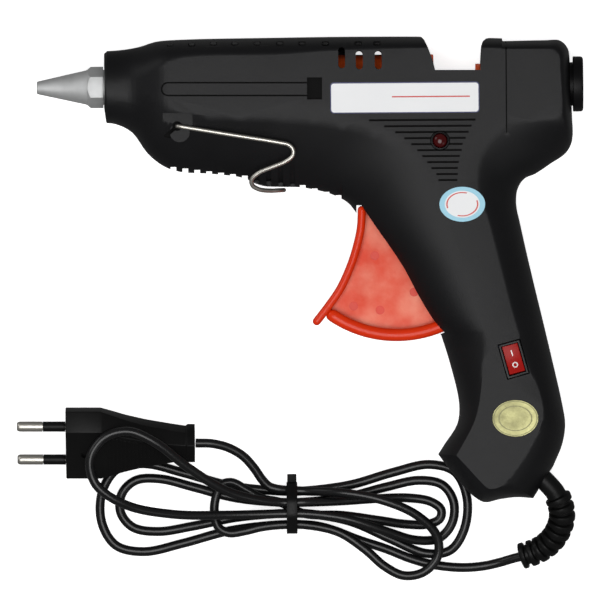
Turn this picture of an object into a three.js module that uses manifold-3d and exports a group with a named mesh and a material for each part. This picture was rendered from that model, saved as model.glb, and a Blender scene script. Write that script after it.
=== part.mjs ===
import * as THREE from 'three';
import { mergeVertices } from 'three/addons/utils/BufferGeometryUtils.js';
import Module from 'manifold-3d';

const wasm = await Module();
wasm.setup();

// Hot glue applicator, lying on its right side. Millimetres. +X runs from the nozzle to the rear inlet,
// +Y from the trigger to the barrel's top, +Z out of the left side. The gun frame has its zero on the
// glue stick's axis, at the collar's front face and on the seam between the housing halves.

// Driving sizes of the housing
const housingLength = 182.4;
const housingWidth = 37;
const wall = 2.2;
const seamGap = 0.3;
const fitGap = 0.3;
const overrun = 2;
const ribThickness = 1.8;
const bossRadius = 3.9;

// The photograph's pixels that the outlines are read in, and the small turn of the picture
const housingLengthPixels = 467.6;
const axisPixel = [104.2, 87.6];
const pictureTurn = 0.42 * Math.PI / 180;
const mmPerPixel = housingLength / housingLengthPixels;
const collarPixels = 70.24;
const collarDiameter = collarPixels * mmPerPixel;
const rearFacePixel = 571.8;
const half = housingWidth / 2;

// Stick channel, heating chamber and nozzle
const stickBore = 11.8;
const nozzleLength = 26.2;
const nozzleTipDiameter = 5;
const nozzleShoulderDiameter = 13.6;
const nozzleHexHeight = 14;
const nozzleHexLength = 4.8;
const nozzleConeDiameter = 13.2;
const nozzleRiseLength = 2.5;
const nozzleHoleDiameter = 2.4;
const nozzleStubDiameter = 9;
const nozzleStubLength = 9;
const chamberDiameter = 17;
const chamberFront = 1.2;
const chamberLength = 60;
const spigotDiameter = 14;
const spigotLength = 9;
const frontRingLength = 7;
const sleeveDiameter = 17.6;
const sleeveLap = 2;
const clipRingLength = 3;
const clipRingDiameter = 21.6;
const heaterThickness = 3;
const heaterWidth = 12;
const heaterFrontRoom = 17.8;
const heaterRearRoom = 5.2;
const clipThickness = 0.8;
const clipLengthShare = 0.55;
const heaterRoom = 2;
const heaterBossDepth = 2.6;
const channelRoom = 1;

// Trigger
const pivotPixel = [396.3, 220.7];
const triggerWidth = 15;
const triggerRadius = 47;
const triggerBandThickness = 4.9;
const triggerStripThickness = 3.2;
const triggerWebThickness = 2.6;
const triggerHubRadius = 5.5;
const triggerArmWidth = 8.4;
const armForkReach = 3;
const armRootShare = 1.2;
const armSideRoom = 1.8;
const bandRootShare = 0.06;
const hubShare = 0.8;
const pivotPinDiameter = 4;
const pivotPinLength = 21;
const triggerTravelDegrees = 23;

// Feed carriage and gripper
const carriageFrontPixel = 336.2;
const carriageTubeEndPixel = 433.4;
const carriageRingPixels = [475.2, 480];
const carriageRadius = 12;
const carriageInnerRadius = 9.6;
const carriageRingRadius = 8.2;
const drivePinDiameter = 3;
const drivePinDrop = 13.6;
const cheekDepth = 17;
const cheekThickness = 2.4;
const cheekInner = 4.4;
const cheekRoom = 4;
const cheekLap = 1.6;
const slotRoom = 1;
const railHalf = 3;
const railOuter = 10.6;
const railLap = 6;
const gripperWidth = 6;
const gripperHubRadius = 2.6;
const gripperPinDiameter = 2;
const gripperPinBack = 12;
const gripperPinDrop = 12.4;

// Return spring
const springWire = 1;
const springMeanRadius = 10.4;
const springCurls = 7;

// Rear guide ring
const guideFlangeDiameter = 21.5;
const guideFlangeLength = 4.9;
const guideTubeDiameter = 17;
const guideCollarDiameter = 20.5;
const guideBevel = 1;

// Wire stand
const standWire = 1.7;
const standPivotPixel = [177.5, 126.5];
const standDepth = 1.4;
const standEndDepth = 5.5;

// Switch, indicator, labels
const switchCentrePixel = [513, 359];
const switchTilt = 15.4 * Math.PI / 180;
const switchWidth = 8.6;
const switchLength = 13.6;
const switchDepth = 11;
const switchFrame = 0.9;
const rockerThrow = 8 * Math.PI / 180;
const rockerHingeDepth = 2.1;
const rockerRoom = 5.2;
const indicatorPixel = [439.7, 141];
const bezelRadius = 3.5;
const lensRadius = 2.75;
const indicatorDepth = 6;
const bezelHeight = 0.8;
const bezelEdge = 0.3;
const lensBase = 1;
const lensHeight = 2.1;
const platePixels = [330, 479, 82.4, 113];
const plateThickness = 0.3;
const plateCorner = 1.4;
const badgePixel = [461.8, 204.5];
const badgeSize = [17.8, 13.6];
const sealPixel = [514.7, 418];
const sealSize = [17.8, 14.2];

// Mains cord
const cordDiameter = 3.6;
const reliefRadius = 5.2;
const reliefRootRadius = 3.9;
const reliefFlangeRadius = 5.5;
const reliefRibs = 9;
const plugBodyWidth = 35.3;
const plugBodyThickness = 13.7;
const plugFlatWidth = 26;
const plugTurn = 46 * Math.PI / 180;
const pinDiameter = 4;
const pinLength = 19;
const pinSpacing = 18.6;
const pinSleeveLength = 9;

// Colours
const finishes = {
  abs: { color: 0x232323, roughness: 0.55, metalness: 0 },
  trigger: { color: 0xe8501e, roughness: 0.4, metalness: 0 },
  carriage: { color: 0xdf5a1f, roughness: 0.5, metalness: 0 },
  aluminium: { color: 0xb9bcbd, roughness: 0.35, metalness: 1 },
  steel: { color: 0xc8c8c6, roughness: 0.25, metalness: 1 },
  nickel: { color: 0xd8d8d4, roughness: 0.2, metalness: 1 },
  silicone: { color: 0xd9d3c6, roughness: 0.7, metalness: 0 },
  ceramic: { color: 0x8d8a84, roughness: 0.8, metalness: 0 },
  redSwitch: { color: 0xb01818, roughness: 0.35, metalness: 0 },
  redLens: { color: 0x5a0a0c, roughness: 0.1, metalness: 0 },
  switchBlack: { color: 0x2e2e2e, roughness: 0.45, metalness: 0 },
  plate: { color: 0xededed, roughness: 0.4, metalness: 0 },
  badge: { color: 0x8fd3ea, roughness: 0.4, metalness: 0 },
  foil: { color: 0xc9c46a, roughness: 0.35, metalness: 0.6 },
  cordBlack: { color: 0x161616, roughness: 0.45, metalness: 0 },
  wireRed: { color: 0x9c1f1f, roughness: 0.5, metalness: 0 },
  wireBlue: { color: 0x22409a, roughness: 0.5, metalness: 0 },
};

// Places

function at(u, v) {
  const du = u - axisPixel[0];
  const dv = v - axisPixel[1];
  const x = mmPerPixel * (du * Math.cos(pictureTurn) - dv * Math.sin(pictureTurn));
  const y = -mmPerPixel * (du * Math.sin(pictureTurn) + dv * Math.cos(pictureTurn));
  return [x, y];
}

function px(u) {
  return mmPerPixel * (u - axisPixel[0]);
}

function shapeFrom(points) {
  return new THREE.Shape(points.map(([x, y]) => new THREE.Vector2(x, y)));
}

function pixelShape(pixels) {
  return shapeFrom(pixels.map(([u, v]) => at(u, v)));
}

// Solids and their joins

function toSolid(geometry) {
  let plain = geometry.clone();
  plain.deleteAttribute('normal');
  plain.deleteAttribute('uv');
  plain = mergeVertices(plain, 1e-5);
  const vertProperties = new Float32Array(plain.attributes.position.array);
  const triVerts = new Uint32Array(plain.index.array);
  return new wasm.Manifold(new wasm.Mesh({ numProp: 3, vertProperties, triVerts }));
}

function toGeometry(solid) {
  const { vertProperties, triVerts } = solid.getMesh();
  const geometry = new THREE.BufferGeometry();
  geometry.setAttribute('position', new THREE.BufferAttribute(new Float32Array(vertProperties), 3));
  geometry.setIndex(new THREE.BufferAttribute(new Uint32Array(triVerts), 1));
  return geometry;
}

function cut(body, ...tools) {
  let solid = toSolid(body);
  for (const tool of tools) solid = solid.subtract(toSolid(tool));
  return toGeometry(solid);
}

function join(body, ...others) {
  let solid = toSolid(body);
  for (const other of others) solid = solid.add(toSolid(other));
  return toGeometry(solid);
}

function common(body, other) {
  return toGeometry(toSolid(body).intersect(toSolid(other)));
}

function box(x0, x1, y0, y1, z0, z1) {
  const geometry = new THREE.BoxGeometry(x1 - x0, y1 - y0, z1 - z0);
  geometry.translate((x0 + x1) / 2, (y0 + y1) / 2, (z0 + z1) / 2);
  return geometry;
}

function prism(shape, z0, z1, curveSegments = 8) {
  const geometry = new THREE.ExtrudeGeometry(shape, { depth: z1 - z0, bevelEnabled: false, curveSegments });
  geometry.translate(0, 0, z0);
  return geometry;
}

function rodZ(radius, x, y, z0, z1, sides = 16) {
  const geometry = new THREE.CylinderGeometry(radius, radius, z1 - z0, sides);
  geometry.rotateX(Math.PI / 2);
  geometry.translate(x, y, (z0 + z1) / 2);
  return geometry;
}

function rodX(radius, x0, x1, sides = 24) {
  const geometry = new THREE.CylinderGeometry(radius, radius, x1 - x0, sides);
  geometry.rotateZ(Math.PI / 2);
  geometry.translate((x0 + x1) / 2, 0, 0);
  return geometry;
}

// A turned piece on the stick axis: the profile gives [x, radius] along its outline
function turned(profile, sides = 24) {
  const points = profile.map(([x, radius]) => new THREE.Vector2(radius, x));
  const geometry = new THREE.LatheGeometry(points, sides);
  geometry.rotateZ(-Math.PI / 2);
  return outward(geometry);
}

// Turns every face of a closed body outwards
function outward(geometry) {
  let plain = geometry.clone();
  plain.deleteAttribute('normal');
  plain.deleteAttribute('uv');
  plain = mergeVertices(plain, 1e-5);
  const place = plain.attributes.position;
  const index = plain.index.array;
  const kept = [];
  let volume = 0;
  const a = new THREE.Vector3();
  const b = new THREE.Vector3();
  const c = new THREE.Vector3();
  for (let i = 0; i < index.length; i += 3) {
    const [p, q, r] = [index[i], index[i + 1], index[i + 2]];
    if (p === q || q === r || r === p) continue;
    kept.push(p, q, r);
    a.fromBufferAttribute(place, p);
    b.fromBufferAttribute(place, q);
    c.fromBufferAttribute(place, r);
    volume += a.dot(b.cross(c));
  }
  if (volume < 0) {
    for (let i = 0; i < kept.length; i += 3) [kept[i], kept[i + 1]] = [kept[i + 1], kept[i]];
  }
  plain.setIndex(kept);
  return plain;
}

function ringX(outer, inner, x0, x1, sides = 24) {
  return turned([[x0, inner], [x1, inner], [x1, outer], [x0, outer], [x0, inner]], sides);
}

function circleShape(radius, sides) {
  const points = [];
  for (let i = 0; i < sides; i += 1) {
    const angle = 2 * Math.PI * i / sides;
    points.push([radius * Math.cos(angle), radius * Math.sin(angle)]);
  }
  return shapeFrom(points);
}

// A round wire or cord along points, as one extruded section
function wire(points, diameter, steps, sides = 8) {
  const curve = new THREE.CatmullRomCurve3(points.map((p) => new THREE.Vector3(...p)), false, 'centripetal');
  const settings = { steps, bevelEnabled: false, extrudePath: curve };
  return outward(new THREE.ExtrudeGeometry(circleShape(diameter / 2, sides), settings));
}

// An unbroken tube through rings of points, closed at both ends. The radius may change along it.
function sweep(points, radiusAt, sides) {
  const count = points.length;
  const places = [];
  const index = [];
  const tangents = points.map((p, i) => {
    const before = points[Math.max(i - 1, 0)];
    const after = points[Math.min(i + 1, count - 1)];
    return after.clone().sub(before).normalize();
  });
  let side = new THREE.Vector3(0, 0, 1);
  for (let i = 0; i < count; i += 1) {
    side.addScaledVector(tangents[i], -side.dot(tangents[i])).normalize();
    const other = tangents[i].clone().cross(side);
    for (let k = 0; k < sides; k += 1) {
      const angle = 2 * Math.PI * k / sides;
      const radius = radiusAt(i);
      const place = points[i].clone();
      place.addScaledVector(side, radius * Math.cos(angle));
      place.addScaledVector(other, radius * Math.sin(angle));
      places.push(place.x, place.y, place.z);
    }
  }
  for (let i = 0; i + 1 < count; i += 1) {
    for (let k = 0; k < sides; k += 1) {
      const a = i * sides + k;
      const b = i * sides + (k + 1) % sides;
      index.push(a, a + sides, b, b, a + sides, b + sides);
    }
  }
  for (let k = 1; k + 1 < sides; k += 1) {
    const last = (count - 1) * sides;
    index.push(0, k, k + 1, last, last + k + 1, last + k);
  }
  const geometry = new THREE.BufferGeometry();
  geometry.setAttribute('position', new THREE.BufferAttribute(new Float32Array(places), 3));
  geometry.setIndex(index);
  return outward(geometry);
}

// Least gap between two parts of one tube, measured on its centre points
function leastGap(points, diameter) {
  let least = Infinity;
  const reach = 4 * diameter;
  const run = [0];
  for (let i = 1; i < points.length; i += 1) run.push(run[i - 1] + points[i].distanceTo(points[i - 1]));
  const nearest = new THREE.Vector3();
  for (let i = 0; i < points.length; i += 1) {
    for (let j = i + 1; j + 1 < points.length; j += 1) {
      if (run[j] - run[i] < reach) continue;
      const piece = new THREE.Line3(points[j], points[j + 1]);
      piece.closestPointToPoint(points[i], true, nearest);
      least = Math.min(least, nearest.distanceTo(points[i]) - diameter);
    }
  }
  return least;
}

function mirrorZ(geometry) {
  const copy = geometry.clone();
  copy.scale(1, 1, -1);
  return outward(copy);
}

// Housing outline, as stations of the seam edge and of the flat side panel, in photograph pixels, with
// the share of a straight slope in the round-over between the two. Corners part the runs.
const frontRun = [
  [104.2, 123, 106, 90, 0],
  [104.2, 51.5, 106, 86, 0],
];
const topRun = [
  [104.2, 51.5, 106, 86, 0],
  [124, 50, 126, 84, 0],
  [140, 47, 146, 77, 0],
  [156, 42, 164, 66, 0],
  [180, 40, 184, 59, 0],
  [276, 38, 276, 56, 0],
  [348, 37, 348, 51, 0],
  [440, 37, 440, 49, 0],
  [501.5, 38.5, 501.5, 49, 0],
];
const rearRun = [
  [502.4, 41.3, 502.4, 50, 0],
  [545, 40.4, 545, 50, 0],
  [559.6, 40.6, 553, 50.5, 0],
  [567.6, 48.8, 558, 56, 0],
  [569.6, 64, 559, 70, 0],
  [571.6, 112, 561, 106, 0],
  [rearFacePixel, 141, 560, 116, 0.1],
  [565.7, 153, 535, 119, 0.2],
  [550, 164, 507, 124, 0.2],
  [535, 174, 488, 140, 0.2],
  [524.5, 178.6, 479, 156, 0.2],
  [517.6, 188.5, 476, 173, 0.2],
  [516, 204, 477.5, 196, 0.2],
  [520, 224, 485, 215, 0.2],
  [529, 264, 496, 255, 0.2],
  [543.5, 324, 513, 320, 0.2],
  [553, 364, 527, 362, 0.2],
  [562, 404, 541, 402, 0.2],
  [565, 424, 541, 424, 0.2],
  [562, 444, 533, 440, 0.2],
  [553, 466, 524, 456, 0.2],
];
const heelRun = [
  [553, 466, 524, 456, 0.2],
  [533, 498, 507, 480, 0.2],
];
const bottomRun = [
  [533, 498, 507, 480, 0.2],
  [516, 497, 500, 486, 0.2],
  [500, 499, 494, 488, 0.2],
  [484, 502, 488, 488, 0.2],
  [471, 494, 480, 481, 0.2],
  [453, 474, 468, 468, 0.3],
  [438, 454, 456, 455, 0.3],
];
const gripRun = [
  [438, 454, 456, 455, 0.3],
  [445, 443, 464, 441, 0.3],
  [457, 424, 474, 421, 0.3],
  [459, 404, 479, 401, 0.3],
  [450, 364, 483, 363, 0.3],
  [441, 335, 487, 332, 0.3],
];
const throatRun = [
  [441, 335, 487, 332, 0.1],
  [429, 322, 485, 318, 0],
  [412, 296, 477, 294, 0],
  [398, 270.5, 468, 268, 0],
  [384, 249.5, 459, 247, 0],
  [370.5, 232, 447, 215, 0],
  [357, 214, 436, 184, 0],
];
const barrelRun = [
  [357, 214, 436, 184, 0],
  [348, 203, 420, 163, 0.1],
  [332, 194.5, 400, 145, 0.3],
  [316, 190, 375, 133, 0.5],
  [300, 187.4, 350, 126, 0.6],
  [280, 187, 320, 120, 0.6],
  [264, 186.2, 296, 118.5, 0.6],
  [254, 183, 282, 117.5, 0.6],
  [244, 178.2, 270, 117, 0.6],
  [212, 174, 226, 116, 0.6],
  [180, 172, 192, 115, 0.6],
  [164, 166.5, 173, 109, 0.5],
  [148, 154, 158, 99, 0.2],
  [132, 132.5, 138, 93, 0.1],
  [116, 124.5, 122, 91, 0],
  [104.2, 123, 106, 90, 0],
];
const outlineRuns = [frontRun, topRun, rearRun, heelRun, bottomRun, gripRun, throatRun, barrelRun];
const collarEndPixels = [126, 168];
const panelStripEndPixel = 190;
const stationSteps = 1;
const curvedStationSteps = 2;
const roundOverSteps = 4;
const innerRoundOverSteps = 2;

function smoothStep(value, start, end) {
  const t = THREE.MathUtils.clamp((value - start) / (end - start), 0, 1);
  return t * t * (3 - 2 * t);
}

// How much of the full width the housing has at a place along the barrel
function widthShareAt(x) {
  const collarShare = collarDiameter / housingWidth;
  return collarShare + (1 - collarShare) * smoothStep(x, px(collarEndPixels[0]), px(collarEndPixels[1]));
}

// Seam and panel points of the whole outline, in gun millimetres
function outlineStations() {
  const stations = [];
  for (const run of outlineRuns) {
    const seam = new THREE.CatmullRomCurve3(run.map(([u, v, , , slope]) => new THREE.Vector3(...at(u, v), slope)));
    const panel = new THREE.CatmullRomCurve3(run.map(([, , u, v]) => new THREE.Vector3(...at(u, v), 0)));
    const steps = (run.length - 1) * (run === bottomRun ? curvedStationSteps : stationSteps);
    for (let i = 0; i < steps; i += 1) {
      const s = seam.getPoint(i / steps);
      const p = panel.getPoint(i / steps);
      stations.push({ seam: [s.x, s.y], panel: [p.x, p.y], slope: s.z });
    }
  }
  return stations;
}

// The seam outline drawn in by one wall, corner by corner
function drawnIn(stations, distance) {
  const count = stations.length;
  return stations.map((station, i) => {
    const before = stations[(i + count - 1) % count].seam;
    const after = stations[(i + 1) % count].seam;
    const here = station.seam;
    const first = new THREE.Vector2(here[0] - before[0], here[1] - before[1]).normalize();
    const second = new THREE.Vector2(after[0] - here[0], after[1] - here[1]).normalize();
    const normal = new THREE.Vector2(first.y + second.y, -first.x - second.x);
    const half2 = Math.max(normal.length() / 2, 0.5);
    normal.normalize().multiplyScalar(distance / half2);
    return { ...station, seam: [here[0] + normal.x, here[1] + normal.y] };
  });
}

// A half body over the outline, from its flat seam face to its flat panel
function halfBody(stations, low, high, frontStop, turns = roundOverSteps) {
  const count = stations.length;
  const places = [];
  const index = [];
  const stop = (x) => Math.max(x, frontStop);
  for (let ring = 0; ring <= turns; ring += 1) {
    const angle = Math.PI / 2 * ring / turns;
    for (const { seam, panel, slope } of stations) {
      const reach = Math.cos(angle);
      const rise = (1 - slope) * Math.sin(angle) + slope * (1 - reach);
      const x = stop(panel[0] + (seam[0] - panel[0]) * reach);
      const y = panel[1] + (seam[1] - panel[1]) * reach;
      const z = ring === 0 ? low : Math.max(low, high * rise * widthShareAt(x));
      places.push(new THREE.Vector3(x, y, z));
    }
  }
  for (let ring = 0; ring < turns; ring += 1) {
    for (let i = 0; i < count; i += 1) {
      const a = ring * count + i;
      const b = ring * count + (i + 1) % count;
      index.push(a, b, a + count, b, b + count, a + count);
    }
  }
  const last = turns * count;
  const flat = (start, end) => places.slice(start, end).map((p) => new THREE.Vector2(p.x, p.y));
  for (const [p, q, r] of THREE.ShapeUtils.triangulateShape(flat(0, count), [])) index.push(p, q, r);
  // The panel narrows towards the collar, so it is laid in strips across the barrel there
  let upper = 1;
  let lower = count;
  const xOf = (i) => places[last + i % count].x;
  while (Math.min(xOf(upper + 1), xOf(lower - 1)) < px(panelStripEndPixel)) {
    const next = xOf(upper + 1) <= xOf(lower - 1) ? upper + 1 : lower - 1;
    index.push(last + upper, last + next, last + lower % count);
    if (next === upper + 1) upper = next;
    else lower = next;
  }
  for (const [p, q, r] of THREE.ShapeUtils.triangulateShape(flat(last + upper, last + lower + 1), [])) {
    index.push(last + upper + p, last + upper + r, last + upper + q);
  }
  const geometry = new THREE.BufferGeometry();
  geometry.setAttribute('position', new THREE.BufferAttribute(new Float32Array(places.flatMap((p) => p.toArray())), 3));
  geometry.setIndex(index);
  return outward(geometry);
}

// Places inside the gun
const pivot = at(...pivotPixel);
const standPivot = at(...standPivotPixel);
const screwPixels = [[140, 123], [322, 162], [499, 137], [548, 136], [544, 51], [508, 262], [463, 446], [498, 476]];
const screws = screwPixels.map(([u, v]) => at(u, v));
const carriageFront = px(carriageFrontPixel);
const carriageTubeEnd = px(carriageTubeEndPixel);
const carriageRingStart = px(carriageRingPixels[0]);
const carriageRingEnd = px(carriageRingPixels[1]);
const armLength = -pivot[1] - drivePinDrop;
const armLean = triggerTravelDegrees / 2 * Math.PI / 180;
const drivePin = [pivot[0] + armLength * Math.sin(armLean), -drivePinDrop];
const carriageTravel = 2 * armLength * Math.sin(armLean);
const gripperPin = [drivePin[0] - gripperPinBack, -gripperPinDrop];
const reliefPixels = [
  [541, 472], [548, 483], [555, 492.5], [560, 503], [562, 515], [559.5, 527],
  [553, 538.5], [544, 547], [534, 552.5], [521, 557],
];

const parts = new THREE.Group();

function add(name, finish, geometry) {
  const mesh = new THREE.Mesh(geometry, new THREE.MeshStandardMaterial(finishes[finish]));
  mesh.name = name;
  parts.add(mesh);
  return mesh;
}

// Housing halves

const stations = outlineStations();
const cavityStations = drawnIn(stations, wall);
const collarWall = 3;
const outerBody = halfBody(stations, seamGap / 2, half, -Infinity);
const cavity = halfBody(cavityStations, -overrun, half - wall, collarWall, innerRoundOverSteps);
const wallMiddle = halfBody(
  drawnIn(stations, wall / 2), seamGap / 2, half - wall / 2, collarWall / 2, innerRoundOverSteps);
const bore = stickBore / 2;
const chamberRadius = chamberDiameter / 2;
const chamberEnd = chamberFront + chamberLength;
const spigotStart = chamberEnd - spigotLength;
const sleeveStart = spigotStart + fitGap;
const sleeveRadius = sleeveDiameter / 2;
const clipRingStart = sleeveStart + 2 * fitGap;
const triggerHalf = triggerWidth / 2;
const triggerSlotHalf = triggerHalf + 2 * fitGap;
const flangeStart = px(rearFacePixel) + fitGap;
const guideRadius = guideTubeDiameter / 2;
const guideTubeStart = carriageRingEnd + fitGap;
const frontRingStart = collarWall + fitGap;
const frontRingEnd = frontRingStart + frontRingLength;
const ribPixels = [366.2, 413.4, 493.9];
const carriageRibLow = -8;
const ribPlaces = [
  { start: frontRingEnd + 2 * fitGap, hole: chamberRadius + fitGap, low: -half },
  { start: spigotStart - 2 * ribThickness, hole: chamberRadius + fitGap, low: -half },
  { start: px(ribPixels[0]), hole: carriageRadius + fitGap, low: carriageRibLow },
  { start: px(ribPixels[1]), hole: carriageRadius + fitGap, low: carriageRibLow },
  { start: px(ribPixels[2]), hole: guideRadius + fitGap, low: -half },
];

function ribs() {
  const reach = housingLength;
  return ribPlaces.map(({ start, hole, low }) => {
    const plate = box(start, start + ribThickness, low, reach, seamGap / 2, half);
    return common(cut(plate, rodX(hole, start - overrun, start + ribThickness + overrun)), wallMiddle);
  });
}

function innerPost(radius, place, bottom) {
  return common(rodZ(radius, ...place, bottom, half, 10), wallMiddle);
}

const notchPixels = [[426, 20], [427, 44], [432.5, 58], [434.7, 70.5], [479.8, 70.5], [481, 54], [485, 40], [486, 20]];
const triggerSlotPixels = [
  [353, 226], [353, 203], [372, 192], [404, 200], [432, 250], [462, 310], [466, 339],
  [436, 334], [418, 350], [380, 330], [340, 260],
];
const sideSlotPixels = [[338, 345, 48, 69], [355.5, 362.7, 51, 70], [374.5, 381.6, 51, 70]];
const squareRecessPixels = [307, 322, 78, 100];
const squareRecessDepth = 1.2;
const standRecessPixels = [[163, 113.5], [193, 113.5], [193, 142], [163, 142]];
const standLevel = half - standDepth;
const standRecessFloor = standLevel - standWire / 2 - fitGap;
const standPadDepth = 2.4;
const standPostRadius = 3;
const notchPitchPixels = 11.9;
const notchWidthPixels = 5.8;
const notchDepthPixels = 4;
const notchReachShare = 0.4865;
const notchReach = half * notchReachShare;
const lowerNotchPixels = [[170.6, 7, 167.2, 0.12], [299.8, 4, 185.3, 0.28]];
const pilotRadius = 1.6;
const pilotDepth = 9;
const screwHoleRadius = 1.7;
const headHoleRadius = 3.2;
const headSeat = 9;
const frontHeadSeat = 6;
const pivotBossRadius = 4.4;
const reliefAxisPixels = [[534, 470], [547, 483]];
const reliefBoreLength = 22;

function sideSlot([u0, u1, v0, v1]) {
  const [x0] = at(u0, v0);
  const [x1] = at(u1, v1);
  const radius = (x1 - x0) / 2;
  const top = at(u0, v0)[1] - radius;
  const bottom = at(u0, v1)[1] + radius;
  const shape = new THREE.Shape();
  shape.absarc((x0 + x1) / 2, top, radius, 0, Math.PI, false);
  shape.absarc((x0 + x1) / 2, bottom, radius, Math.PI, 2 * Math.PI, false);
  return prism(shape, 0, half + overrun, 4);
}

function lowerNotches() {
  const tools = [];
  for (const [start, count, level, slope] of lowerNotchPixels) {
    for (let i = 0; i < count; i += 1) {
      const u = start + i * notchPitchPixels;
      const v = level + slope * i * notchPitchPixels;
      const [x0, y0] = at(u, v);
      const [x1] = at(u + notchWidthPixels, v);
      tools.push(box(x0, x1, y0 - notchDepthPixels * mmPerPixel * 2, y0, 0, notchReach));
    }
  }
  return tools;
}

function turnedOnto(geometry, from, to) {
  const direction = new THREE.Vector3(to[0] - from[0], to[1] - from[1], 0).normalize();
  geometry.applyQuaternion(new THREE.Quaternion().setFromUnitVectors(new THREE.Vector3(0, 1, 0), direction));
  geometry.translate((from[0] + to[0]) / 2, (from[1] + to[1]) / 2, 0);
  return geometry;
}

function reliefBore() {
  const [inside, outside] = reliefAxisPixels.map(([u, v]) => at(u, v));
  const radius = reliefRootRadius + 2 * fitGap;
  return turnedOnto(new THREE.CylinderGeometry(radius, radius, reliefBoreLength, 14), inside, outside);
}

function switchWindow() {
  const room = 2 * fitGap;
  const geometry = new THREE.BoxGeometry(switchWidth + room, switchLength + room, 4 * wall);
  geometry.rotateZ(switchTilt);
  geometry.translate(...at(...switchCentrePixel), half);
  return geometry;
}

const grooveLeftPixels = [369, 384, 395, 404, 411, 417, 422, 427, 431, 436, 438];
const grooveRightPixels = [475, 471, 468, 465, 462, 461, 459, 458, 457, 457, 456.5];
const grooveTopPixel = 119.8;
const groovePitchPixels = 5.96;
const grooveThickness = 0.8;
const grooveDepth = 0.8;

function panelGrooves() {
  return grooveLeftPixels.map((u, i) => {
    const [x0, y0] = at(u, grooveTopPixel + groovePitchPixels * i);
    const [x1] = at(grooveRightPixels[i], grooveTopPixel);
    return box(x0, x1, y0 - grooveThickness, y0, half - grooveDepth, half + overrun);
  });
}

function sharedCuts() {
  const reach = half + overrun;
  const tools = [
    rodX(chamberRadius + fitGap, -overrun, collarWall + overrun),
    rodX(guideRadius + fitGap, flangeStart - 3 * wall, flangeStart + overrun),
    prism(pixelShape(notchPixels), -overrun, reach),
    prism(pixelShape(triggerSlotPixels), -overrun, triggerSlotHalf),
    prism(pixelShape(standRecessPixels), standRecessFloor, reach),
    rodZ(standWire / 2 + fitGap, ...standPivot, standEndDepth, reach, 10),
    rodZ(pivotPinDiameter / 2 + fitGap, ...pivot, 0, pivotPinLength / 2 + fitGap, 16),
    reliefBore(),
    ...sideSlotPixels.slice(1).map(sideSlot),
    ...lowerNotches(),
  ];
  const [x0, y0] = at(squareRecessPixels[0], squareRecessPixels[2]);
  const [x1, y1] = at(squareRecessPixels[1], squareRecessPixels[3]);
  tools.push(box(x0, x1, y1, y0, half - squareRecessDepth, reach));
  return tools;
}

function hollowHalf() {
  const shell = cut(outerBody, cavity);
  const standPad = common(
    prism(pixelShape(standRecessPixels), standRecessFloor - standPadDepth, half), wallMiddle);
  const posts = screws.map((place) => innerPost(bossRadius, place, seamGap / 2));
  const pivotBoss = innerPost(pivotBossRadius, pivot, triggerSlotHalf);
  const standPost = innerPost(standPostRadius, standPivot, standEndDepth + wall * 2);
  return cut(join(shell, ...ribs(), standPad, ...posts, pivotBoss, standPost), ...sharedCuts());
}

const clampPixel = [521, 458];
const clampReach = 5.2;
const clampScrewRadius = 1.1;
const clampPostRadius = 2.4;
const clampHoleDepth = 10;
const clampDirection = new THREE.Vector2(1, 1).normalize();
const clampCentre = at(...clampPixel);
const clampScrews = [-1, 1].map((side) => [
  clampCentre[0] + side * clampReach * clampDirection.x,
  clampCentre[1] + side * clampReach * clampDirection.y,
]);

const emptyHalf = hollowHalf();
const seatOf = (i) => (i === 0 ? frontHeadSeat : headSeat);

// The first side slot is in the left half only
add('housing_left', 'abs', cut(
  emptyHalf,
  sideSlot(sideSlotPixels[0]),
  switchWindow(),
  rodZ(bezelRadius + fitGap, ...at(...indicatorPixel), half - 2 * wall, half + overrun, 20),
  ...panelGrooves(),
  ...screws.map((place, i) => rodZ(pilotRadius, ...place, -overrun, pilotDepth + seatOf(i) - headSeat, 8)),
));

function rightHalf() {
  const posts = clampScrews.map((place) => common(rodZ(clampPostRadius, ...place, cordDiameter / 2, half, 10), wallMiddle));
  const bored = cut(
    join(emptyHalf, ...posts),
    ...screws.map((place, i) => rodZ(screwHoleRadius, ...place, -overrun, seatOf(i), 8)),
    ...screws.map((place, i) => rodZ(headHoleRadius, ...place, seatOf(i), half + overrun, 10)),
    ...clampScrews.map((place) => rodZ(clampScrewRadius + fitGap, ...place, -overrun, clampHoleDepth, 8)),
  );
  return mirrorZ(bored);
}

add('housing_right', 'abs', rightHalf());

const screwHeadRadius = 2.8;
const screwHeadHeight = 2;
const screwRadius = 1.3;
const screwTipRoom = 2;

screws.forEach((place, i) => {
  const seat = seatOf(i);
  const head = rodZ(screwHeadRadius, ...place, -seat - screwHeadHeight, -seat - fitGap, 10);
  const shaft = rodZ(
    screwRadius, ...place, -seat - screwHeadHeight / 2, pilotDepth + seat - headSeat - screwTipRoom, 8);
  add(`housing_screw_${i + 1}`, 'steel', join(head, shaft));
});

// Nozzle and heating chamber

const tip = -nozzleLength;
const hexStart = -nozzleHexLength;
const hexEnd = -fitGap;
const shoulderEnd = chamberFront - fitGap;
const stubEnd = shoulderEnd + nozzleStubLength;
const stubRadius = nozzleStubDiameter / 2;
const nozzleHole = nozzleHoleDiameter / 2;
const channelShares = { narrow: 0.25, wide: 0.72 };

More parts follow.
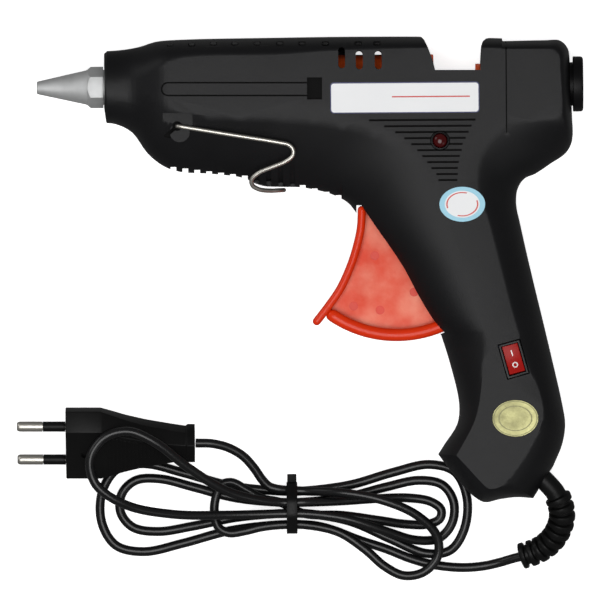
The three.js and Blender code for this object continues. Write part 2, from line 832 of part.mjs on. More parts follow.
// The cone runs up onto a six-sided rod, so each side starts in a curve
function nozzleBody() {
  const shoulder = nozzleShoulderDiameter / 2;
  const corner = nozzleHexHeight / Math.sqrt(3);
  const outside = corner + fitGap;
  const cone = turned([
    [tip, 0], [tip, nozzleTipDiameter / 2], [hexStart - nozzleRiseLength, nozzleConeDiameter / 2],
    [hexStart, outside], [hexEnd, outside], [hexEnd, 0],
  ], 36);
  const rod = new THREE.CylinderGeometry(corner, corner, 1, 6);
  rod.rotateY(Math.PI / 6);
  rod.scale(1, hexEnd - tip + overrun, 1);
  rod.rotateZ(Math.PI / 2);
  rod.translate((hexEnd + tip - overrun) / 2, 0, 0);
  const stub = turned([
    [hexStart, 0], [hexStart, shoulder], [shoulderEnd, shoulder], [shoulderEnd, stubRadius], [stubEnd, stubRadius],
    [stubEnd, 0],
  ], 24);
  const channel = turned([
    [tip - overrun, 0], [tip - overrun, nozzleHole], [tip * channelShares.wide, nozzleHole],
    [hexStart, stubRadius * channelShares.wide], [stubEnd + overrun, stubRadius * channelShares.wide],
    [stubEnd + overrun, 0],
  ], 16);
  return cut(join(common(cone, rod), stub), channel);
}

add('nozzle', 'aluminium', nozzleBody());

const heaterBossWidth = heaterWidth + heaterRoom;
const heaterBossBottom = -chamberRadius - heaterBossDepth;
const heaterTop = heaterBossBottom - fitGap;
const heaterBottom = heaterTop - heaterThickness;
const heaterStart = chamberFront + heaterFrontRoom;
const heaterEnd = spigotStart - heaterRearRoom;

function chamberBody() {
  const body = turned([
    [chamberFront, 0], [chamberFront, chamberRadius], [spigotStart, chamberRadius],
    [spigotStart, spigotDiameter / 2], [chamberEnd, spigotDiameter / 2], [chamberEnd, 0],
  ], 24);
  const boss = box(heaterStart - channelRoom, heaterEnd, heaterBossBottom, -chamberRadius / 2,
    -heaterBossWidth / 2, heaterBossWidth / 2);
  const stubHole = stubRadius + fitGap;
  const channel = turned([
    [chamberFront - overrun, 0], [chamberFront - overrun, stubHole], [stubEnd + channelRoom, stubHole],
    [stubEnd + channelRoom, bore], [chamberEnd + overrun, bore], [chamberEnd + overrun, 0],
  ], 20);
  return cut(join(body, boss), channel);
}

add('heating_chamber', 'aluminium', chamberBody());
add('front_support_ring', 'silicone', ringX(
  collarDiameter / 2 - wall - 4 * fitGap, chamberRadius + fitGap, frontRingStart, frontRingEnd));
const heaterHalf = heaterWidth / 2;
add('heater_plate', 'ceramic', box(heaterStart, heaterEnd, heaterBottom, heaterTop, -heaterHalf, heaterHalf));

function heaterClip() {
  const inner = heaterBossWidth / 2 + fitGap;
  const room = (heaterEnd - heaterStart) * (1 - clipLengthShare) / 2;
  const start = heaterStart + room;
  const end = heaterEnd - room;
  const floor = heaterBottom - fitGap;
  const top = heaterBossBottom + heaterRoom;
  return cut(
    box(start, end, floor - clipThickness, top, -inner - clipThickness, inner + clipThickness),
    box(start - overrun, end + overrun, floor, top + overrun, -inner, inner));
}

add('heater_clip', 'steel', heaterClip());
const sleeveEnd = carriageFront + sleeveLap;
add('inlet_sleeve', 'silicone', turned([
  [sleeveStart, spigotDiameter / 2 + fitGap], [sleeveStart, sleeveRadius], [sleeveEnd, sleeveRadius],
  [sleeveEnd, bore], [chamberEnd + fitGap, bore], [chamberEnd + fitGap, spigotDiameter / 2 + fitGap],
  [sleeveStart, spigotDiameter / 2 + fitGap],
], 24));
const clipRingEnd = clipRingStart + clipRingLength;
add('sleeve_clip_ring', 'steel', ringX(clipRingDiameter / 2, sleeveRadius + fitGap, clipRingStart, clipRingEnd));

// Return spring

function springPoints() {
  const steps = 8;
  const start = clipRingEnd + fitGap + springWire / 2;
  const end = carriageFront - fitGap - springWire / 2;
  const points = [];
  for (let i = 0; i <= springCurls * steps; i += 1) {
    const angle = 2 * Math.PI * i / steps;
    const share = i / (springCurls * steps);
    points.push(new THREE.Vector3(
      start + (end - start) * share, springMeanRadius * Math.cos(angle), springMeanRadius * Math.sin(angle)));
  }
  return points;
}

const springRoute = springPoints();
console.log('return spring, least gap between curls in mm:', leastGap(springRoute, springWire).toFixed(2));
add('return_spring', 'steel', sweep(springRoute, () => springWire / 2, 5));

// Feed carriage, its pins and the gripper

function carriageBody() {
  const railInner = bore + fitGap;
  const tube = ringX(carriageRadius, carriageInnerRadius, carriageFront, carriageTubeEnd);
  const ring = ringX(carriageRingRadius, railInner, carriageRingStart, carriageRingEnd, 20);
  const pieces = [ring];
  const cheekStart = gripperPin[0] - cheekRoom;
  const cheekEnd = drivePin[0] + cheekRoom;
  const slotEnd = drivePin[0] + triggerArmWidth / 2 + 3 * fitGap;
  for (const side of [-1, 1]) {
    const rail = [railInner + fitGap, railOuter].map((z) => side * z).sort((p, q) => p - q);
    const cheek = [cheekInner, cheekInner + cheekThickness].map((z) => side * z).sort((p, q) => p - q);
    pieces.push(box(carriageTubeEnd - railLap, carriageRingEnd, -railHalf, railHalf, ...rail));
    pieces.push(box(cheekStart, cheekEnd, -cheekDepth, -carriageInnerRadius + cheekLap, ...cheek));
  }
  const drive = drivePinDiameter / 2 + fitGap;
  const hinge = gripperPinDiameter / 2 + fitGap;
  return cut(
    join(tube, ...pieces),
    box(cheekStart + slotRoom, slotEnd, -carriageRadius - overrun, 0, -cheekInner, cheekInner),
    rodZ(drive, ...drivePin, -half, half, 12),
    rodZ(hinge, ...gripperPin, -half, half, 10));
}

add('feed_carriage', 'carriage', carriageBody());
const pinReach = cheekInner + cheekThickness + slotRoom;
add('drive_pin', 'steel', rodZ(drivePinDiameter / 2, ...drivePin, -pinReach, pinReach, 12));
add('gripper_pin', 'steel', rodZ(gripperPinDiameter / 2, ...gripperPin, -pinReach, pinReach, 10));

const pawlOutline = [[-2.2, 0.6], [2.6, 4.6], [4.4, 6.1], [7.4, 6.1], [6.4, 3.6], [1.6, -2]];

function gripperBody() {
  const halfWidth = gripperWidth / 2;
  const plate = prism(shapeFrom(pawlOutline.map(([x, y]) => [gripperPin[0] + x, gripperPin[1] + y])), -halfWidth, halfWidth);
  return cut(
    join(rodZ(gripperHubRadius, ...gripperPin, -halfWidth, halfWidth, 16), plate),
    rodZ(gripperPinDiameter / 2 + fitGap, ...gripperPin, -half, half, 10));
}

add('gripper_pawl', 'steel', gripperBody());

// Trigger

const stripPixels = [
  [357.5, 206], [357.5, 216], [356.5, 229], [352, 248.6], [346.6, 265], [336.8, 286.5], [325.6, 303], [311, 322],
];
const webPixels = [[362, 210], [361, 230], [350, 267], [340, 288.5], [326, 309]];
const bandStartAngle = -127.5 * Math.PI / 180;
const bandEndAngle = -58 * Math.PI / 180;

function stripShape() {
  const outer = new THREE.SplineCurve(stripPixels.map(([u, v]) => new THREE.Vector2(...at(u, v)))).getPoints(18);
  const inner = outer.map((point, i) => {
    const before = outer[Math.max(i - 1, 0)];
    const after = outer[Math.min(i + 1, outer.length - 1)];
    const along = after.clone().sub(before).normalize();
    return [point.x - along.y * triggerStripThickness, point.y + along.x * triggerStripThickness];
  });
  return shapeFrom([...outer.map((p) => [p.x, p.y]), ...inner.reverse()]);
}

function bandShape() {
  const inner = triggerRadius - triggerBandThickness;
  const shape = new THREE.Shape();
  shape.absarc(...pivot, triggerRadius, bandStartAngle, bandEndAngle, false);
  shape.absarc(...pivot, inner, bandEndAngle, bandStartAngle, true);
  return shape;
}

function webShape() {
  const middle = triggerRadius - triggerBandThickness / 2;
  const points = webPixels.map(([u, v]) => at(u, v));
  const steps = 10;
  for (let i = 0; i <= steps; i += 1) {
    const angle = bandStartAngle + bandRootShare + (bandEndAngle - bandStartAngle - bandRootShare) * i / steps;
    points.push([pivot[0] + middle * Math.cos(angle), pivot[1] + middle * Math.sin(angle)]);
  }
  points.push([pivot[0] + triggerHubRadius * hubShare, pivot[1]], [pivot[0], pivot[1] + triggerHubRadius * hubShare]);
  return shapeFrom(points);
}

function armShape() {
  const side = triggerArmWidth / 2;
  const slot = drivePinDiameter / 2 + fitGap;
  const top = armLength + armForkReach;
  const fork = armLength - armForkReach;
  const points = [
    [-side * armRootShare, 0], [side * armRootShare, 0], [side, top], [slot, top], [slot, fork], [-slot, fork],
    [-slot, top], [-side, top],
  ];
  const lean = armLean;
  return shapeFrom(points.map(([x, y]) => [
    pivot[0] + x * Math.cos(lean) + y * Math.sin(lean),
    pivot[1] - x * Math.sin(lean) + y * Math.cos(lean),
  ]));
}

function triggerBody() {
  const web = triggerWebThickness / 2;
  const arm = cheekInner - armSideRoom;
  return cut(
    join(
      prism(stripShape(), -triggerHalf, triggerHalf),
      prism(bandShape(), -triggerHalf, triggerHalf, 14),
      prism(webShape(), -web, web),
      rodZ(triggerHubRadius, ...pivot, -triggerHalf, triggerHalf, 20),
      prism(armShape(), -arm, arm)),
    rodZ(pivotPinDiameter / 2 + fitGap, ...pivot, -half, half, 16));
}

add('trigger', 'trigger', triggerBody());
add('trigger_pivot_pin', 'steel', rodZ(pivotPinDiameter / 2, ...pivot, -pivotPinLength / 2, pivotPinLength / 2, 16));

// Rear guide ring

const guideEnd = flangeStart + guideFlangeLength;
const collarRadius = guideCollarDiameter / 2;
const collarEnd = flangeStart - wall - 6 * fitGap;
const guideFlange = guideFlangeDiameter / 2;
add('rear_guide_ring', 'abs', turned([
  [guideTubeStart, bore], [guideTubeStart, guideRadius], [collarEnd - wall, guideRadius], [collarEnd - wall, collarRadius],
  [collarEnd, collarRadius], [collarEnd, guideRadius], [flangeStart, guideRadius], [flangeStart, guideFlange],
  [guideEnd - guideBevel, guideFlange], [guideEnd, guideFlange - guideBevel], [guideEnd, bore], [guideTubeStart, bore],
], 24));

// Wire stand: one leg from its pivot hole to the middle of the foot, in pixels and height over the seam

const standLegPixels = [
  [177.5, 126.5], [177.5, 126.5], [178.2, 126.6], [180.8, 127], [187, 128], [232, 135.3], [280, 143.1],
  [288.6, 145.2], [293, 149.8], [292.6, 156], [286, 161.6], [272, 167.4], [259, 173], [251.8, 179.6],
  [252.6, 185.6], [259.6, 189.6], [270, 190.8], [280, 190.4],
];
const standHeightShares = [
  0.48, 0.895, 0.9766, 1.003, 1, 1, 0.9942, 0.9883, 0.9708, 0.9474, 0.9123, 0.8538, 0.7836, 0.7135, 0.6199, 0.4912,
  0.3158, 0.152,
];
const standMiddlePixel = [284, 190.2, 0];

function standRoute() {
  const leg = standLegPixels.map(([u, v], i) => [...at(u, v), standLevel * standHeightShares[i]]);
  const middle = [...at(standMiddlePixel[0], standMiddlePixel[1]), 0];
  return [...leg, middle, ...leg.map(([x, y, z]) => [x, y, -z]).reverse()];
}

add('wire_stand', 'nickel', wire(standRoute(), standWire, 60, 6));

// Rocker switch

const switchPlace = at(...switchCentrePixel);
const switchTop = half - fitGap;
const rockerHinge = half - rockerHingeDepth;

function placedSwitch(geometry) {
  geometry.rotateZ(switchTilt);
  geometry.translate(...switchPlace, 0);
  return geometry;
}

function switchBox(width, length, z0, z1) {
  return box(-width / 2, width / 2, -length / 2, length / 2, z0, z1);
}

add('switch_body', 'switchBlack', placedSwitch(cut(
  switchBox(switchWidth, switchLength, switchTop - switchDepth, switchTop),
  switchBox(switchWidth - 2 * switchFrame, switchLength - 2 * switchFrame, switchTop - rockerRoom, half + overrun))));

const rockerShares = [
  [-1, -1], [-0.22, -2.6], [0.22, -2.6], [1, -1], [1, 1.5], [0.5, 0.85], [0, 0.65], [-0.5, 0.85], [-1, 1.5],
];

function rockerBody() {
  const length = switchLength / 2 - switchFrame - fitGap;
  const width = switchWidth / 2 - switchFrame - fitGap;
  const profile = rockerShares.map(([share, height]) => [share * length, height]);
  const geometry = prism(shapeFrom(profile), -width, width);
  geometry.rotateX(Math.PI / 2);
  geometry.rotateZ(Math.PI / 2);
  geometry.rotateX(-rockerThrow);
  geometry.translate(0, 0, rockerHinge);
  return geometry;
}

add('switch_rocker', 'redSwitch', placedSwitch(rockerBody()));
const bladeThickness = 0.8;
const bladeWidth = 4.6;
const bladeLength = 6;
const bladeSpread = 3.4;
const bladeTop = switchTop - switchDepth - fitGap;
[-1, 1].forEach((side, i) => {
  const blade = box(-bladeWidth / 2, bladeWidth / 2, side * bladeSpread - bladeThickness / 2,
    side * bladeSpread + bladeThickness / 2, bladeTop - bladeLength, bladeTop);
  add(`switch_terminal_${i + 1}`, 'nickel', placedSwitch(blade));
});

// Indicator

function turnedZ(profile, place, sides = 20) {
  const geometry = new THREE.LatheGeometry(profile.map(([r, z]) => new THREE.Vector2(r, z)), sides);
  geometry.rotateX(Math.PI / 2);
  geometry.translate(...place, 0);
  return outward(geometry);
}

const indicatorPlace = at(...indicatorPixel);
const bezelInner = lensRadius + fitGap;
const bezelTop = half + bezelHeight;
add('indicator_bezel', 'switchBlack', turnedZ([
  [bezelInner, half - wall], [bezelRadius, half - wall], [bezelRadius, bezelTop - bezelEdge],
  [bezelRadius - bezelEdge, bezelTop], [bezelInner, bezelTop], [bezelInner, half - wall],
], indicatorPlace, 16));
const lensBottom = half - wall - lensBase;
const domeShares = [[1, 0.2], [0.86, 0.62], [0.5, 0.9], [0, 1]];
add('indicator_lens', 'redLens', turnedZ([
  [0, lensBottom], [lensRadius, lensBottom],
  ...domeShares.map(([r, z]) => [r * lensRadius, half + z * lensHeight]),
], indicatorPlace, 16));
add('indicator_body', 'plate', rodZ(lensRadius, ...indicatorPlace, lensBottom - indicatorDepth, lensBottom - fitGap, 14));

// Label plate, oval badge and oval seal on the left panel

function roundedPlate() {
  const [x0, y1] = at(platePixels[0], platePixels[2]);
  const [x1, y0] = at(platePixels[1], platePixels[3]);
  const r = plateCorner;
  const shape = new THREE.Shape();
  shape.absarc(x1 - r, y1 - r, r, 0, Math.PI / 2, false);
  shape.absarc(x0 + r, y1 - r, r, Math.PI / 2, Math.PI, false);
  shape.absarc(x0 + r, y0 + r, r, Math.PI, Math.PI * 1.5, false);
  shape.absarc(x1 - r, y0 + r, r, Math.PI * 1.5, Math.PI * 2, false);
  return prism(shape, half, half + plateThickness, 4);
}

function ovalPlate(pixel, [width, height]) {
  const shape = new THREE.Shape();
  shape.absellipse(...at(...pixel), width / 2, height / 2, 0, 2 * Math.PI, false, 0);
  return prism(shape, half, half + plateThickness, 14);
}

add('label_plate', 'plate', roundedPlate());
add('power_badge', 'badge', ovalPlate(badgePixel, badgeSize));
add('check_seal', 'foil', ovalPlate(sealPixel, sealSize));

// Strain relief and the pieces of the mains cord. Their routes are photograph pixels with the height
// over the surface that the gun lies on.

const surface = -half;
const cordRadius = cordDiameter / 2;

function lying([u, v, height]) {
  return [...at(u, v), surface + height];
}

const reliefPathPixels = [
  [527.5, 463.5], [537.5, 473.5], [547, 483], [554.5, 491.5], [559.8, 502.5], [562, 515], [559.5, 527], [553, 538.5],
  [544, 547], [533.5, 552.5], [521, 556.5],
];
const reliefHeightShares = [1, 1, 0.9946, 0.973, 0.9081, 0.8, 0.6703, 0.5297, 0.4108, 0.3351, 0.2919];
const reliefNeckShare = 0.33;
const reliefFlangeShare = 0.06;
const reliefEndShare = 0.045;
const reliefStepShare = 0.001;
const ribShares = [[0, reliefRootRadius], [0.08, reliefRadius], [0.66, reliefRadius], [0.74, reliefRootRadius]];

function reliefBody() {
  const curve = new THREE.CatmullRomCurve3(reliefPathPixels.map(
    ([u, v], i) => new THREE.Vector3(...lying([u, v, half * reliefHeightShares[i]]))));
  const stops = [
    [0, reliefFlangeRadius], [reliefFlangeShare, reliefFlangeRadius],
    [reliefFlangeShare + reliefStepShare, reliefRootRadius],
  ];
  const pitch = (1 - reliefNeckShare - reliefEndShare) / reliefRibs;
  for (let i = 0; i < reliefRibs; i += 1) {
    for (const [share, radius] of ribShares) stops.push([reliefNeckShare + pitch * (i + share), radius]);
  }
  const end = 1 - reliefEndShare;
  stops.push([end, reliefRootRadius], [end + reliefStepShare, reliefRadius], [1, reliefRadius]);
  const points = stops.map(([share]) => curve.getPointAt(share));
  return sweep(points, (i) => stops[i][1], 8);
}

add('strain_relief', 'cordBlack', reliefBody());

const tailRoute = [
  [518.6, 557, 5.2], [511, 559.3, 4.2], [500, 562.6, 2.8], [484, 566.2, 1.9], [462, 567.8, 1.8], [434, 565, 1.8],
  [410, 558.5, 1.8], [386, 549, 1.8], [357, 539.5, 1.8], [338, 532, 2.2], [324, 527.6, 2.9], [312, 525.4, 3.1],
];
add('cord_tail', 'cordBlack', wire(tailRoute.map(lying), cordDiameter, 26, 6));

// The hank: nine runs through the tie at the waist, with four lobes on each side of it. Every run has
// its place in the waist as [column, layer] on its left and right side.
const waistPixel = [292, 508];
const waistHalfRun = 4.5;
const cordPitch = cordDiameter + 0.78;
const tieThickness = 0.8;
const tieWidth = 4.2;
const bundleColumns = 4;
const firstLayer = tieThickness + fitGap + cordRadius;
const columnPlace = (column) => (bundleColumns / 2 - 0.5 - column) * cordPitch;
const layerHeight = (layer) => firstLayer + layer * cordPitch;

const hankStart = [311, 525.3, 3.1];
const hankEnd = [280, 489.5, 8.2];

const lobeSteps = 11;
const teardropSwell = 2.6;
const levelShare = 0.82;
// Each lobe: tip pixel, half width, place at its start and end, height of its tip, how late its height
// leaves the waist on either side, and its hump there
const lobes = [
  { tip: [100, 507.3], width: 16.4, from: [3, 0], to: [0, 0], tipHeight: 1.9, powers: [0.62, 0.4], humps: [0.43, 0.29] },
  { tip: [467.5, 512.1], width: 17.01, from: [0, 0], to: [2, 0], tipHeight: 1.9, powers: [0.52, 0.64], humps: [0.13, 0.58] },
  { tip: [119.5, 503], width: 10.16, from: [2, 0], to: [1, 0], tipHeight: 1.9, powers: [0.53, 0.37], humps: [0.24, 0.05] },
  { tip: [454.5, 512.6], width: 11.57, from: [1, 0], to: [2, 2], tipHeight: 1.9, powers: [0.4, 2], humps: [0, 1.99] },
  { tip: [95.5, 446.9], width: 13.4, from: [2, 2], to: [1, 2], tipHeight: 30.6, powers: [2.15, 0.84], humps: [0.83, 0.32] },
  { tip: [442, 514.2], width: 4.89, from: [1, 2], to: [2, 1], tipHeight: 1.9, powers: [0.75, 2.08], humps: [0, 0.37] },
  { tip: [214.5, 505.6], width: 9.3, from: [1, 1], to: [3, 1], tipHeight: 6.6, powers: [0.54, 0.3], humps: [0.42, 0.95] },
  { tip: [432, 565.6], width: 11.11, from: [3, 1], to: [0, 1], tipHeight: 6.3, powers: [0.3, 0.72], humps: [0.44, 6.3] },
];
// The sense in which each lobe is wound
const lobeTurns = [1, -1, 1, -1, 1, -1, -1, 1];

// One lobe as a teardrop on a bent axis: it leaves the waist level, swells and comes back
function lobePoints({ tip: tipPixel, width, from, to, tipHeight, powers, humps }, turn) {
  const [waistX, waistY] = at(...waistPixel);
  const [tipX, tipY] = at(...tipPixel);
  const side = Math.sign(tipX - waistX);
  const startX = waistX + side * waistHalfRun;
  const reach = tipX - startX;
  const drop = tipY - waistY;
  const points = [];
  for (let i = 0; i <= lobeSteps; i += 1) {
    const angle = -Math.PI / 2 + Math.PI * i / lobeSteps;
    const along = Math.cos(angle);
    const swell = teardropSwell * Math.sin(angle) * along * along * width * turn;
    const place = angle < 0 ? from : to;
    const fade = Math.sin(angle) ** 4;
    const tangent = new THREE.Vector2(reach, 2 * drop * along).normalize();
    const x = startX + reach * along - tangent.y * swell * side;
    const y = waistY + drop * along * along + tangent.x * swell * side + columnPlace(place[0]) * fade;
    const strand = angle < 0 ? 0 : 1;
    const rise = Math.min(along / levelShare, 1) ** powers[strand];
    const hump = humps[strand] * 4 * along * (1 - along);
    const height = layerHeight(place[1]) * (1 - rise) + tipHeight * rise + hump;
    points.push(new THREE.Vector3(x, y, surface + height));
  }
  return points;
}

function hankRoute() {
  const points = [new THREE.Vector3(...lying(hankStart))];
  lobes.forEach((lobe, i) => points.push(...lobePoints(lobe, lobeTurns[i])));
  points.push(new THREE.Vector3(...lying(hankEnd)));
  return points;
}

const hankStepsPerLobe = 12;
const hankControl = hankRoute();
const hankCurve = new THREE.CatmullRomCurve3(hankControl, false, 'centripetal');
const hankFine = hankCurve.getPoints(lobes.length * hankStepsPerLobe * 4);
console.log('cord hank, least gap to itself in mm:', leastGap(hankFine, cordDiameter).toFixed(2));
add('cord_hank', 'cordBlack', sweep(hankCurve.getPoints(lobes.length * hankStepsPerLobe), () => cordRadius, 6));

// The cord's lead to the plug, the tie around the hank's waist and the plug

const plugLeadRoute = [
  [195.8, 443, 14.1], [212, 443.5, 13.6], [228, 447.5, 12.6], [243, 456, 11.4], [254, 468, 10.2],
  [262, 479.5, 9.2], [269, 486.4, 8.6], [278.2, 489.2, 8.27],
];
add('cord_plug_lead', 'cordBlack', wire(plugLeadRoute.map(lying), cordDiameter, 16, 6));

const tieTabLength = 3.2;
const tieTabHeight = 6.5;

function tieBand() {
  const [waistX, waistY] = at(...waistPixel);
  const clear = cordRadius + 3 * fitGap;
  const side = columnPlace(0) + clear;
  const top = layerHeight(2) + clear;
  const shoulder = columnPlace(0) + layerHeight(1) + clear * Math.SQRT2;
  const ringPoints = (grow) => {
    const sum = shoulder + grow * Math.SQRT2;
    const [wide, high, low] = [side + grow, top + grow, tieThickness - grow];
    return [[wide, low], [wide, sum - wide], [sum - high, high], [high - sum, high], [-wide, sum - wide], [-wide, low]];
  };
  const shape = shapeFrom(ringPoints(tieThickness));
  shape.holes.push(shapeFrom(ringPoints(0)));
  const band = prism(shape, -tieWidth / 2, tieWidth / 2);
  const tab = box(side, side + tieThickness + tieTabLength, tieTabHeight, tieTabHeight + tieThickness,
    -tieWidth / 2, tieWidth / 2);
  const geometry = join(band, tab);
  geometry.rotateX(Math.PI / 2);
  geometry.rotateZ(Math.PI / 2);
  geometry.translate(waistX, waistY, surface);
  return geometry;
}

add('cord_tie', 'cordBlack', tieBand());

const plugAxisPixel = 443;
const plugHeight = 14.15;
const plugFacePixel = 66;
// The body's sections along the plug, as shares of its width, of its flats' width and of its thickness
const plugSectionPixels = [66, 101, 112, 125, 145, 173, 186, 187, 195];
const plugSectionShares = [
  [1, 1, 1], [1, 1, 1], [0.8782, 0.8846, 0.9781], [0.7365, 0.7308, 0.9489], [0.5524, 0.5577, 0.9051],
  [0.3853, 0.3846, 0.8467], [0.3286, 0.3269, 0.8029], [0.3541, 0.3615, 0.8759], [0.3541, 0.3615, 0.8759],
];
const pinBarePart = 10;
const pinPointLength = 0.8;
const pinPointShare = 0.7;
const pinCoreRadius = 1.4;
const pinRootLength = 6;

function plugSolid() {
  const places = [];
  const index = [];
  plugSectionPixels.forEach((u, i) => {
    const [x, y, z] = lying([u, plugAxisPixel, plugHeight]);
    const sizes = [plugBodyWidth, plugFlatWidth, plugBodyThickness];
    const [w, f, t] = plugSectionShares[i].map((share, k) => share * sizes[k] / 2);
    for (const [across, over] of [[w, 0], [f, t], [-f, t], [-w, 0], [-f, -t], [f, -t]]) {
      places.push(x, y + across * Math.cos(plugTurn) - over * Math.sin(plugTurn));
      places.push(z + across * Math.sin(plugTurn) + over * Math.cos(plugTurn));
    }
  });
  const corners = 6;
  const last = (plugSectionPixels.length - 1) * corners;
  for (let i = 0; i < last; i += corners) {
    for (let k = 0; k < corners; k += 1) {
      const next = (k + 1) % corners;
      index.push(i + k, i + next, i + corners + k, i + next, i + corners + next, i + corners + k);
    }
  }
  for (let k = 1; k + 1 < corners; k += 1) index.push(0, k + 1, k, last, last + k, last + k + 1);
  const geometry = new THREE.BufferGeometry();
  geometry.setAttribute('position', new THREE.BufferAttribute(new Float32Array(places), 3));
  geometry.setIndex(index);
  return outward(geometry);
}

function onPlug(geometry, side) {
  const [x, y, z] = lying([plugFacePixel, plugAxisPixel, plugHeight]);
  const offset = side * pinSpacing / 2;
  geometry.rotateZ(-pictureTurn);
  geometry.translate(x, y + offset * Math.cos(plugTurn), z + offset * Math.sin(plugTurn));
  return geometry;
}

const pinRadius = pinDiameter / 2;
const pinSides = 12;
const pinHoles = [1, -1].map((side) => onPlug(
  rodX(pinCoreRadius + fitGap / 2, -overrun, pinRootLength + fitGap, pinSides), side));
add('plug_body', 'cordBlack', cut(plugSolid(), ...pinHoles));
[1, -1].forEach((side, i) => {
  const bareEnd = pinBarePart - pinLength;
  add(`plug_pin_${i + 1}`, 'nickel', onPlug(turned([
    [-pinLength, 0], [-pinLength, pinRadius * pinPointShare], [pinPointLength - pinLength, pinRadius],
    [bareEnd, pinRadius], [bareEnd, pinCoreRadius], [pinRootLength, pinCoreRadius], [pinRootLength, 0],
  ], pinSides), side));
  add(`plug_pin_sleeve_${i + 1}`, 'cordBlack', onPlug(
    ringX(pinRadius, pinCoreRadius + fitGap / 2, bareEnd + fitGap / 2, -fitGap / 2, pinSides), side));
});

// The cord inside the grip, its clamp and the three leads. These routes are photograph pixels with
// the height over the seam.

function inGun([u, v, height]) {
  return [...at(u, v), height];
}

const innerEndRoute = [[527, 463, 0], [520, 456.3, 0], [512, 449, 0]];
add('cord_inner_end', 'cordBlack', wire(innerEndRoute.map(inGun), cordDiameter, 4, 8));
const clampBar = [14, 5, 2.4];
const clampScrewHead = [2.2, 1.6];
const clampScrewTip = 8;
const clampBottom = cordRadius + fitGap;
const clampTop = clampBottom + clampBar[2];

function clampBarBody() {
  const bar = box(-clampBar[0] / 2, clampBar[0] / 2, -clampBar[1] / 2, clampBar[1] / 2, clampBottom, clampTop);
  bar.rotateZ(clampDirection.angle());
  bar.translate(...clampCentre, 0);
  return cut(bar, ...clampScrews.map((place) => rodZ(clampScrewRadius + fitGap, ...place, -overrun, half, 10)));
}

add('cord_clamp', 'switchBlack', clampBarBody());
clampScrews.forEach((place, i) => {
  const [headRadius, headHeight] = clampScrewHead;
  const head = rodZ(headRadius, ...place, clampTop + fitGap, clampTop + fitGap + headHeight, 10);
  const shaft = rodZ(clampScrewRadius, ...place, -clampScrewTip, clampTop + fitGap + headHeight / 2, 8);
  add(`clamp_screw_${i + 1}`, 'steel', join(head, shaft));
});

const leadDiameter = 1.6;
const liveRoute = [
  [510.9, 448.7, 1.05], [508, 441, 0.8], [507, 420, -1], [510, 395, -2.5], [513.5, 378, -2.8], [515.3, 369.5, -1.4],
  [515.3, 367.4, 0.5],
];
const switchedRoute = [
  [510.7, 350.6, 0.5], [510.3, 349, -1], [507, 341, -1], [502, 332, 2.8], [498, 322, 7.6], [493.5, 305, 11.4],
  [488, 280, 12.2], [482, 250, 12.2], [474, 215, 11.9], [462, 185, 10.6], [446, 166, 8.6], [430, 158, 7.2],
  [400, 153, 6], [360, 148, 5.5], [322, 144, 5.5], [280, 141, 5], [244, 140.4, 4.4], [228, 139.4, 4],
  [219, 134, 3.4], [217, 129, 3.1], [217, 124.9, 3],
];
const neutralRoute = [
  [509.3, 447, -1.05], [505, 436, -3], [500, 410, -8], [498, 380, -11], [497, 340, -12.2], [493.5, 305, -12.2],
  [488, 280, -12.2], [482, 250, -12.2], [474, 215, -11.9], [462, 185, -10.6], [446, 166, -8.6], [430, 158, -7.2],
  [400, 153, -6], [360, 148, -5.5], [322, 144, -5.5], [280, 141, -5], [244, 140.4, -4.4], [228, 139.4, -4],
  [219, 134, -3.4], [217, 129, -3.1], [217, 124.9, -3],
];
const leads = [
  ['live_lead', 'wireRed', liveRoute, 12],
  ['switched_lead', 'wireRed', switchedRoute, 26],
  ['neutral_lead', 'wireBlue', neutralRoute, 28],
];
for (const [name, finish, route, steps] of leads) add(name, finish, wire(route.map(inGun), leadDiameter, steps, 5));

// The object's own zero: the middle of its footprint without the free cord, on the surface it lies on

const freeCord = [
  'cord_tail', 'cord_hank', 'cord_plug_lead', 'cord_tie', 'plug_body', 'plug_pin_1', 'plug_pin_2',
  'plug_pin_sleeve_1', 'plug_pin_sleeve_2',
];
const bounds = new THREE.Box3();
for (const part of parts.children) {
  if (!freeCord.includes(part.name)) bounds.expandByObject(part);
}
const middle = bounds.getCenter(new THREE.Vector3());
for (const part of parts.children) part.geometry.translate(-middle.x, -middle.y, -bounds.min.z);

export default parts;
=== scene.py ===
from math import copysign, cos, pi, radians, sin, sqrt

import bmesh
import bpy
from mathutils import Matrix, Vector


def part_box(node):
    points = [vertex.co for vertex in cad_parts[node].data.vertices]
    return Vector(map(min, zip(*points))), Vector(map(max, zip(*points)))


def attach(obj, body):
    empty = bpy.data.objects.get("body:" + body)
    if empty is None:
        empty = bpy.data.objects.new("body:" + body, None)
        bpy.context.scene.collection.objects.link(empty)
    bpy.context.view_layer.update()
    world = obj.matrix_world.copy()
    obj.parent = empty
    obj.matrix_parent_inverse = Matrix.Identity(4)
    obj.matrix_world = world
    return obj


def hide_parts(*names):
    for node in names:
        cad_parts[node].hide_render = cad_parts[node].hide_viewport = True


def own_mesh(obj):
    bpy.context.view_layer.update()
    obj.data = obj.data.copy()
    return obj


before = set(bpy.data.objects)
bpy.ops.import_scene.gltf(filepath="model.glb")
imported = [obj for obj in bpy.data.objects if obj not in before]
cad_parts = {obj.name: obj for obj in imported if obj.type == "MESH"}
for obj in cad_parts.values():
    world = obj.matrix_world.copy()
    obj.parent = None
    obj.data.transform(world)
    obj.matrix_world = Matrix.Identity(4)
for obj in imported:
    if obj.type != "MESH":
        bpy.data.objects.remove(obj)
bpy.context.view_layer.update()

# Sizes of the gun in millimetres. The gun's own zero lies on the glue stick's axis, at the collar's
# front face and on the seam, and a flat side panel lies PANEL from it. Places read in the photograph
# are in its pixels.
MM = 0.001
PANEL = 18.5
WALL = 2.2
FIT = 0.3
COLLAR_DIAMETER = 27.4
HOUSING_LENGTH = 182.4
